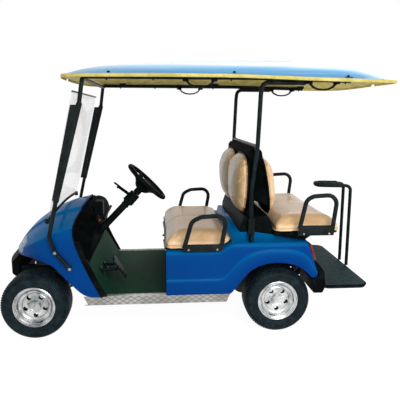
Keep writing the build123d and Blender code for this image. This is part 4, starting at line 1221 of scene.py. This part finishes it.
def puffPad(name, outline, thick, edge, roundness, voxel, hollow=None):
    # flat-backed pad over an outline in XY with its crowned face upwards, swollen as cloth; a bmesh in millimetres
    bm = bmesh.new()
    addSlab(bm, [(x, y, 0) for x, y in outline], (0, 0, thick))
    bmesh.ops.recalc_face_normals(bm, faces=bm.faces)
    bmesh.ops.scale(bm, vec=(0.001, 0.001, 0.001), verts=bm.verts)
    pad = bpy.data.objects.new(name, toMesh(name, bm))
    scene.collection.objects.link(pad)
    remesh = pad.modifiers.new("Even faces", "REMESH")
    remesh.mode = "VOXEL"
    remesh.voxel_size = voxel / 1000
    bakeModifiers(pad)
    flat = [tuple(p) for p in outline]
    for v in pad.data.vertices:
        x, y, z = v.co * 1000
        gap = min(1, edgeGap((x, y), flat) / roundness)
        dome = edge + (thick - edge) * math.sin(gap * math.pi / 2) ** 0.75
        if hollow:
            dome -= hollow(x, y)
        v.co.z = z / thick * dome / 1000
    swell(pad, [v.co.copy() for v in pad.data.vertices])
    smoothCage(pad, 1)
    bakeModifiers(pad)
    bm = bmesh.new()
    bm.from_mesh(pad.data)
    bpy.data.objects.remove(pad)
    bmesh.ops.scale(bm, vec=(1000, 1000, 1000), verts=bm.verts)
    return bm


def sewSeams(bm, lines, depth, width=5):  # lines of (distance from a point to the seam, strength)
    layer = bm.verts.layers.float.new("seam")
    bm.normal_update()
    for v in bm.verts:
        for test, strength in lines:
            gap = test(v.co) / width
            if gap < 2.5:
                pull = math.exp(-gap * gap)
                v.co -= v.normal * depth * pull * abs(strength)
                v[layer] = min(1, v[layer] + max(0, strength) * pull ** 3)


def panelGap(x, y, x0, x1, y0, y1):  # distance to the outline of a sewn rectangle
    return abs(max(x0 - x, x - x1, y0 - y, y - y1))


def finishPad(name, bm, node, body):
    pad = finishPiece(name, bm, [leatherTan], body, (node,) if node else (), 70)


def makeCushion(name, node, body, x, y, z, slope=None):
    s = cushionShape
    x0, x1 = x[0] + s["start"], x[1] - 4
    middle = (x0 + x1) / 2
    half = y - s["start"]
    corner, dip = s["corner"], s["dip"]
    outline = []  # rounded corners, with sides that pull in between them
    for cx, cy, sx, sy in ((x1, half, 1, 1), (x0, half, -1, 1), (x0, -half, -1, -1), (x1, -half, 1, -1)):
        arc = [(cx - sx * corner + sx * corner * math.cos(a), cy - sy * corner + sy * corner * math.sin(a))
               for a in s["arc"]]
        outline += arc if sx * sy > 0 else arc[::-1]
        if sx * sy < 0:
            outline.append((x0 + dip if sx < 0 else x1 - dip, 0))
        else:
            outline.append((middle, sy * (half - dip)))
    ordered = sorted(outline, key=lambda p: math.atan2(p[1] / half, (p[0] - middle) / (x1 - x0) * 2))
    thick = z[1] - z[0] - 4

    def hollow(px, py):  # sat-in places, and the groove between the two seats
        seat = math.exp(-((abs(py) - 275) / 190) ** 2) * math.exp(-((px - middle - 20) / 150) ** 2)
        return s["hollow"] * seat + s["groove"] * math.exp(-(py / 26) ** 2) * min(1, max(0, (px - x0) / 60))

    bm = puffPad(name, ordered, thick, s["edge"], s["round"], s["voxel"], hollow)
    y0, y1, back, front = s["panel"]
    lines = [(lambda c: abs(c.z - s["seam"]), 0.6),
             (lambda c: panelGap(abs(c.y), c.x, y0, y1, middle - back, middle + front) + max(0, 60 - c.z), -0.55),
             (lambda c: abs(c.y) * 1.2 + max(0, 50 - c.z), -0.5)]
    sewSeams(bm, lines, s["seamDepth"])
    for v in bm.verts:
        rise = max(0, v.co.x - slope[0]) * slope[1] if slope else 0
        share = 1 - v.co.z / thick
        v.co.z += z[0] + 2 + rise * max(0, share)
    finishPad(name, bm, node, body)


def makeBackrests():
    s = padShape
    outline = [(y, z - 9) for y, z in s["outline"]]
    middleY, middleZ = s["centre"]
    x0, z0, x1, z1 = s["lean"]
    lean = Vector((x1 - x0, z1 - z0)).normalized()
    lines = [(lambda c: abs(c.z - s["seam"]), 0.7),
             (lambda c: panelGap(c.x, c.y, *s["panel"]) + max(0, 45 - c.z), -0.6)]

    def leaning(up, out):  # a place measured up the rear backs' slope and out from it
        return x0 + lean.x * up + lean.y * out, z0 + lean.y * up - lean.x * out

    shapes = {}
    for name, thick in (("front_backrest", s["thick"]), ("rear_backrest", s["rearThick"])):
        shrink = [(middleY + (y - middleY) * s["shrink"], middleZ + (z - middleZ) * s["shrink"]) for y, z in outline]
        bm = puffPad(name, shrink, thick - 5, s["edge"] * thick / 90, s["round"], s["voxel"])
        sewSeams(bm, lines, s["seamDepth"])
        for v in bm.verts:  # stands upright, back against the shell
            y, z, out = v.co
            if name.startswith("front"):
                v.co = (s["frontX"] - out, y, z)
            else:
                x, z = leaning(z - 854 - 36, out + 3)
                v.co = (x, y, z)
        shapes[name] = bm
    for name, bm in shapes.items():
        mirrored = bm.copy()
        bmesh.ops.scale(mirrored, vec=(1, -1, 1), verts=mirrored.verts)
        for side, half in (("right", bm), ("left", mirrored)):
            bmesh.ops.recalc_face_normals(half, faces=half.faces)
            finishPad(f"{name}_{side}", half, name + "s" if side == "left" else None, "chassis")

    bm = bmesh.new()  # backing boards behind the pads, a little larger than they are
    board = [(y + (4 if y > middleY else -4), z + (4 if z > middleZ else -5)) for y, z in outline]
    for side in (-1, 1):
        addSlab(bm, [(s["boardX"], side * y, z) for y, z in board], (s["board"], 0, 0))
        places = [(y, leaning(z - z0, -6)) for y, z in board]
        addSlab(bm, [(x, side * y, z) for y, (x, z) in places],
                (s["rearBoard"] * lean.y, 0, -s["rearBoard"] * lean.x))
    bmesh.ops.recalc_face_normals(bm, faces=bm.faces)
    roundEdges(finishPiece("backrest_boards", bm, [blackPlastic], "chassis", ()), 3, 3)


armrests = {
    "radius": 15, "y": 592, "bend": 62, "plate": 11,
    "front": ((1014, 630), (1064, 812), (1128, 842), (1302, 852), (1262, 616)),
    "rear": ((1800, 752), (1842, 950), (1890, 974), (2056, 984), (2030, 752)),
}


def makeArmrests(name, node, body, loop, plate, stays, inner=520):
    bm = bmesh.new()
    y = -armrests["y"]
    wide = armrests["plate"]
    addTube(bm, [(x, y, z) for x, z in loop], armrests["radius"], armrests["bend"], 5, 6)
    low, high = plate
    x0, x1 = loop[0][0], loop[-1][0]
    shape = ((x0 - 14, low), (x0 + 6, low - 1), (x1 - 10, low - 1), (x1 + 8, low), (x1 + 16, high), (x0 - 2, high))
    made = addPlate(bm, shape, y - wide, y + wide)
    bmesh.ops.bevel(bm, geom=edgesAt(made), offset=4, offset_type="OFFSET", segments=2, profile=0.5, affect="EDGES",
                    material=-1)
    addBlock(bm, (x0 + 22, x1 - 20), (y + 8, -inner), stays)
    mirrorLeft(bm, 0.01)
    finishPiece(name, bm, [foamBlack], body, (node,), 38)
    bm = bmesh.new()
    for x in (x0 + 28, x1 - 26):
        addBolt(bm, (x, y - wide, low + 12), (0, -1, 0), 5, 4)
    mirrorLeft(bm, 0.01)
    finishPiece(name + "_bolts", bm, [brightBolt], body, ())


makeCushion("front_seat_cushion", "front_cushion", "front_seat", (880, 1343), 550, (612, 724), (1236, 0.5))
makeCushion("rear_seat_cushion", "rear_cushion", "chassis", (1632, 2108), 550, (720, 828))
makeBackrests()
makeArmrests("front_armrest_loops", "front_armrests", "front_seat", armrests["front"], (607, 652), (607, 612))
makeArmrests("rear_armrest_loops", "rear_armrests", "chassis", armrests["rear"], (704, 772), (706, 714))
print("seats made")


dashShape = {
    "half": 589, "drop": 96, "tuck": 62, "wall": 4, "foot": 505, "bendHeight": 330, "pinch": 10, "pinchFrom": 586,
    "line": ((330, 868), (352, 874), (374, 872), (402, 862), (422, 845), (436, 816), (442, 780), (438, 736), (420, 680),
             (400, 620), (374, 552), (357, 505)),
    "places": (-589, -584, -560, -500, -420, -330, -240, -150, -60, 60, 150, 240, 330, 420, 500, 560, 584, 589),
    "pod": ((392, 450), (-326, -238), (806, 908)), "trayLip": ((428, 448), (-180, 330), (742, 760)),
    "switches": (-420, -370), "switch": ((414, 430), 14, (800, 832)),
    "lampPlace": (-452, 800), "lampSteps": (436, 446, 450), "lampRadius": (9, 5),
    "kick": 34, "kickTop": (290, 690), "kickY": (-591, -568),
}


def makeDash():
    s = dashShape
    bm = bmesh.new()
    columns = []
    for y in s["places"]:
        bend = (y / s["half"]) ** 2
        column = []
        for x, z in s["line"]:
            share = min(1, max(0, (z - s["foot"]) / s["bendHeight"]))
            pinch = s["pinch"] if abs(y) > s["pinchFrom"] else 0
            sunk = s["drop"] * bend * share ** 1.5
            column.append((x - s["tuck"] * bend * share - pinch, y, z - sunk - pinch * share))
        columns.append(column)
    for end in (0, -1):  # side panel forward to the cowl's edge
        wall = [(min(along(cowl["rearEdge"], z), x - 4) + 6, y, z) for x, y, z in columns[end]]
        columns = [wall] + columns if end == 0 else columns + [wall]
    addSkin(bm, columns)
    faceOutwards(bm, lambda f: f.calc_center_median().x, lambda f: f.normal.x < 0)
    dash = finishPiece("dash_skin", bm, [panelPlastic], "chassis", ("dash",), 60)
    smoothCage(dash, 2).modifiers[0].boundary_smooth = "PRESERVE_CORNERS"
    bakeModifiers(dash)
    thicken(dash, s["wall"])

    bm = bmesh.new()  # switch pod left of the column, a tray lip and rocker switches
    addBlock(bm, *s["pod"])
    addBlock(bm, *s["trayLip"])
    for y in s["switches"]:
        x, half, z = s["switch"]
        addBlock(bm, x, (y - half, y + half), z)
    roundEdges(finishPiece("dash_switches", bm, [blackPlastic], "chassis", ()), 7, 3)
    bm = bmesh.new()
    back, rim, front = ((x, *s["lampPlace"]) for x in s["lampSteps"])
    wide, narrow = s["lampRadius"]
    addRod(bm, back, rim, wide, 20)
    addRod(bm, rim, front, wide, 20, narrow)
    finishPiece("dash_warning_light", bm, [lampRed], "chassis", ())

    bm = bmesh.new()  # kick panels beside the toe board
    edge = [(x, z) for z, x in cowl["rearEdge"][:4]] + [s["kickTop"]]
    shape = [(x + 3, z) for x, z in edge] + [(x + s["kick"], z) for x, z in reversed(edge)]
    addPlate(bm, shape, *s["kickY"])
    mirrorLeft(bm, 0.01)
    roundEdges(finishPiece("kick_panels", bm, [blackPlastic], "chassis", ()), 4, 3)


steering = {
    "hub": (762.5, -280, 1040), "tilt": 46, "rim": 162, "grip": 15, "spokes": (-90, 30, 150), "spread": 68,
    "bowl": ((26, -78), (40, -76), (52, -66), (66, -48), (84, -34), (106, -22), (130, -12), (154, -4)),
    "boss": ((0.01, -24), (34, -25), (46, -30), (52, -40), (52, -62), (40, -74), (0.01, -76)),
    "openFrom": 82, "plate": 6, "sleeve": (490, 208, 25), "ribs": (-230, -212), "collar": (205, 122, 41, 38),
    "stalkFoot": (-20, -6, 20), "stalkTip": (-104, -16, 88), "paddle": (26, 12, 46),
}


def makeSteering():
    s = steering
    bm = bmesh.new()
    circle = [(s["rim"] + s["grip"] * math.cos(a), s["grip"] * math.sin(a))
              for a in (math.tau * i / 14 for i in range(14))]
    addProfileSpin(bm, circle, 60, True)
    known = set(bm.faces)
    addProfileSpin(bm, s["bowl"], 60)
    fresh = [f for f in bm.faces if f not in known]
    drop = []
    for face in fresh:  # opens the dish between its spokes
        middle = face.calc_center_median()
        turn = math.degrees(math.atan2(middle.z, middle.x))
        nearest = min(abs((turn - spoke + 180) % 360 - 180) for spoke in s["spokes"])
        if middle.xz.length > s["openFrom"] and nearest > s["spread"] / 2:
            drop.append(face)
    bmesh.ops.delete(bm, geom=drop, context="FACES")
    keep = [f for f in fresh if f.is_valid]
    bmesh.ops.recalc_face_normals(bm, faces=bm.faces)
    bmesh.ops.solidify(bm, geom=keep, thickness=s["plate"])
    addProfileSpin(bm, s["boss"], 40)
    bmesh.ops.recalc_face_normals(bm, faces=bm.faces)
    tilt = math.radians(s["tilt"])
    axis = Vector((math.cos(tilt), 0, math.sin(tilt)))
    place = axisMatrix(s["hub"], axis) @ Matrix.Rotation(math.radians(90), 4, "X")
    bmesh.ops.transform(bm, matrix=place, verts=bm.verts)
    finishPiece("steering_wheel_dish", bm, [blackPlastic], "steering_wheel", (), 40)

    bm = bmesh.new()  # ribbed sleeve of the column and the paddle on the stalk
    hub = Vector(s["hub"])
    low, high, radius = s["sleeve"]
    addRod(bm, hub - axis * low, hub - axis * high, radius, 32)
    for step in s["ribs"]:
        addRod(bm, hub + axis * (step - 5), hub + axis * (step + 5), radius + 5, 32)
    low, high, wide, narrow = s["collar"]
    addRod(bm, hub - axis * low, hub - axis * high, wide, 32, narrow)
    foot, tip = (hub - axis * 150 + Vector(s[end]) for end in ("stalkFoot", "stalkTip"))
    addRod(bm, foot, tip, 7, 14, 6)
    away = (tip - foot).normalized()
    bmesh.ops.create_cube(bm, size=1, matrix=axisMatrix(tip + away * 6, away) @ Matrix.Diagonal((*s["paddle"], 1)))
    roundEdges(finishPiece("steering_column_sleeve", bm, [blackPlastic], "chassis", (), 40), 3, 3, 50)


floorEdges = {
    "lips": (((470, 890), (-579, -560), (297, 301)), ((470, 890), (-580, -574), (236, 240)),
             ((338, 470), (-580, -574), (236, 240)), ((890, 1300), (-580, -574), (236, 240))),
    "screws": (380, 620, 860, 1100, 1280), "screwY": -578, "screwZ": 288,
    "ribs": 23, "firstRib": -484, "ribStep": 44, "ribHalf": 13, "ribX": (2030, 2306), "ribZ": (318, 321.6),
    "edge": ((2010, -531, 312), (2335, -531, 312), (2335, 531, 312), (2010, 531, 312)), "edgeRadius": 9, "edgeBend": 62,
}


def makeFloorEdges():
    f = floorEdges
    bm = bmesh.new()
    for lip in f["lips"]:  # bright folded lips of the sill plates
        addBlock(bm, *lip)
    for x in f["screws"]:
        addBolt(bm, (x, f["screwY"], f["screwZ"]), (0, -1, 0), 4.5, 2)
    mirrorLeft(bm, 0.01)
    roundEdges(finishPiece("sill_lips", bm, [brightBolt], "chassis", ()), 1, 2)

    bm = bmesh.new()  # ribs along the rear step, and its rolled edge
    for number in range(f["ribs"]):
        y = f["firstRib"] + number * f["ribStep"]
        addBlock(bm, f["ribX"], (y - f["ribHalf"], y + f["ribHalf"]), f["ribZ"])
    roundEdges(finishPiece("footrest_ribs", bm, [stepRubber], "chassis", ()), 1.5, 2)
    bm = bmesh.new()
    addTube(bm, f["edge"], f["edgeRadius"], f["edgeBend"], 4, 8)
    finishPiece("footrest_edge", bm, [blackPlastic], "chassis", (), 50)


underside = {
    "shocks": ((310, (286, 352), (318, 396), 11), (310, (281, 345), (288, 355), 16)),  # y, start, end, radius
    "stays": ((310, (345, 316), (290, 330), 13), (420, (1800, 330), (1862, 404), 12)),
    "tabs": ((1470, 1490), (566, 12), (660, 706)),
}


def addStays(bm, side, stays):
    for y, (x0, z0), (x1, z1), radius in stays:
        addRod(bm, (x0, side * y, z0), (x1, side * y, z1), radius, 20)


def makeUnderside():
    bm = bmesh.new()  # shock absorbers by the front wheels
    for side in (-1, 1):
        addStays(bm, side, underside["shocks"])
    roundEdges(finishPiece("front_shock_rods", bm, [bareSteel], "chassis", ()), 1.5, 2)
    bm = bmesh.new()  # their lower arms, spring shackles and the tabs of the posts
    x, (y, half), z = underside["tabs"]
    for side in (-1, 1):
        addStays(bm, side, underside["stays"])
        addBlock(bm, x, (side * y - half, side * y + half), z)
    roundEdges(finishPiece("underside_stays", bm, [blackSteel], "chassis", ()), 1.5, 2)


pedals = {
    "pads": (((602, 352), (512, 474), -330, 46), ((560, 340), (492, 452), -170, 34)),  # low, high, y, half width
    "thick": 15, "cover": 0.94, "ribs": 5, "ribStep": 0.18, "rib": (6, 9), "pivot": (420, 398), "arm": 11,
}


def makePedals():
    p = pedals
    bm = bmesh.new()
    for (x0, z0), (x1, z1), y, half in p["pads"]:
        run = Vector((x1 - x0, 0, z1 - z0))
        turn = axisMatrix(Vector(((x0 + x1) / 2 + 6, y, (z0 + z1) / 2 + 4)), run)
        size = (half * 2, p["thick"], run.length * p["cover"], 1)
        bmesh.ops.create_cube(bm, size=1, matrix=turn @ Matrix.Diagonal(size))
        outward = -9 if (turn.to_3x3() @ Vector((0, 1, 0))).x < 0 else 9
        for rib in range(p["ribs"]):  # raised bars across the pad
            shift = Matrix.Translation((0, outward, run.length * (-0.36 + rib * p["ribStep"])))
            bmesh.ops.create_cube(bm, size=1, matrix=turn @ shift @ Matrix.Diagonal((half * 1.8, *p["rib"], 1)))
        addRod(bm, ((x0 + x1) / 2, y, (z0 + z1) / 2), (p["pivot"][0], y + 6, p["pivot"][1]), p["arm"], 18)
    bmesh.ops.recalc_face_normals(bm, faces=bm.faces)
    roundEdges(finishPiece("pedal_pads", bm, [blackSteel], "chassis", ()), 2, 2)


riser = {"half": 498, "rounding": 8, "side": ((1406, 652), (1406, 742), (1424, 800), (1436, 822), (1604, 822),
                                              (1634, 744), (1634, 652))}


def makeRiser():
    bm = bmesh.new()  # box under the backs, its front leaning away under the pads
    addPlate(bm, riser["side"], -riser["half"], riser["half"])
    box = finishPiece("seat_riser_box", bm, [blackPlastic], "chassis", ("seat_riser",))
    roundEdges(box, riser["rounding"], 3)


grabBar = {
    "bar": ((2350, 74, 318), (2350, 74, 962), (2282, 62, 969)), "barRadius": 13, "barBend": 52,
    "grip": ((2104, 40, 972), (2150, 58, 972), (2284, 62, 969)), "gripRadius": 19, "gripBend": 60,
    "nose": (2096, 0, 972),
}


def makeGrabBar():
    g = grabBar
    bm = bmesh.new()
    for side in (-1, 1):
        addTube(bm, [(x, side * y, z) for x, y, z in g["bar"]], g["barRadius"], g["barBend"], 5, 8)
    finishPiece("grab_bar_tubes", bm, [blackSteel], "chassis", ("grab_bar",), 50)
    bm = bmesh.new()
    for side in (-1, 1):
        grip = [(x, side * y, z) for x, y, z in g["grip"]]
        addTube(bm, grip, g["gripRadius"], g["gripBend"], 6, 6)
        addTube(bm, [grip[0], g["nose"]], g["gripRadius"], 0, 6, 3)
    bmesh.ops.remove_doubles(bm, verts=bm.verts, dist=0.01)
    finishPiece("grab_grip_foam", bm, [foamBlack], "chassis", ("grab_grip",), 60)


makeDash()
makeSteering()
makeFloorEdges()
makeUnderside()
makePedals()
makeRiser()
makeGrabBar()
print("dash, steering and small fittings made")


plainNodes = {  # node: (material, edge radius in mm, segments)
    "tie_rod": (bareSteel, 0.8, 2), "front_axle": (darkSteel, 2, 2), "rear_axle": (darkSteel, 2, 2),
    "drive_motor": (darkSteel, 3, 2), "leaf_springs": (darkSteel, 1, 1), "frame_rails": (blackSteel, 3, 2),
    "cross_members": (blackSteel, 1.5, 2), "step_frame": (blackSteel, 3, 2), "battery_pack": (batteryCase, 5, 3),
    "floor_pan": (blackPlastic, 1.5, 2), "floor_mat": (floorGreen, 2, 2), "sill_plates": (treadPlate, 1, 2),
    "front_bumper": (blackPlastic, 8, 3), "steering_column": (blackPlastic, 2, 2),
    "steering_wheel": (blackPlastic, 1, 2), "rear_bumper": (blackPlastic, 6, 3), "tail_lamps": (lampRed, 2, 2),
    "direction_switch": (blackPlastic, 1, 2), "front_seat_pan": (blackSteel, 1, 2), "seat_hinges": (bareSteel, 0.5, 2),
    "rear_seat_pan": (blackPlastic, 2, 2), "seat_back_shell": (panelPlastic, 6, 3), "pedals": (blackSteel, 1, 2),
    "footrest": (stepRubber, 4, 3), "knuckle_left": (darkSteel, 1, 2), "knuckle_right": (darkSteel, 1, 2),
}

for node, (material, radius, segments) in plainNodes.items():
    dressNode(node, material, radius, segments)
print("plain parts dressed")
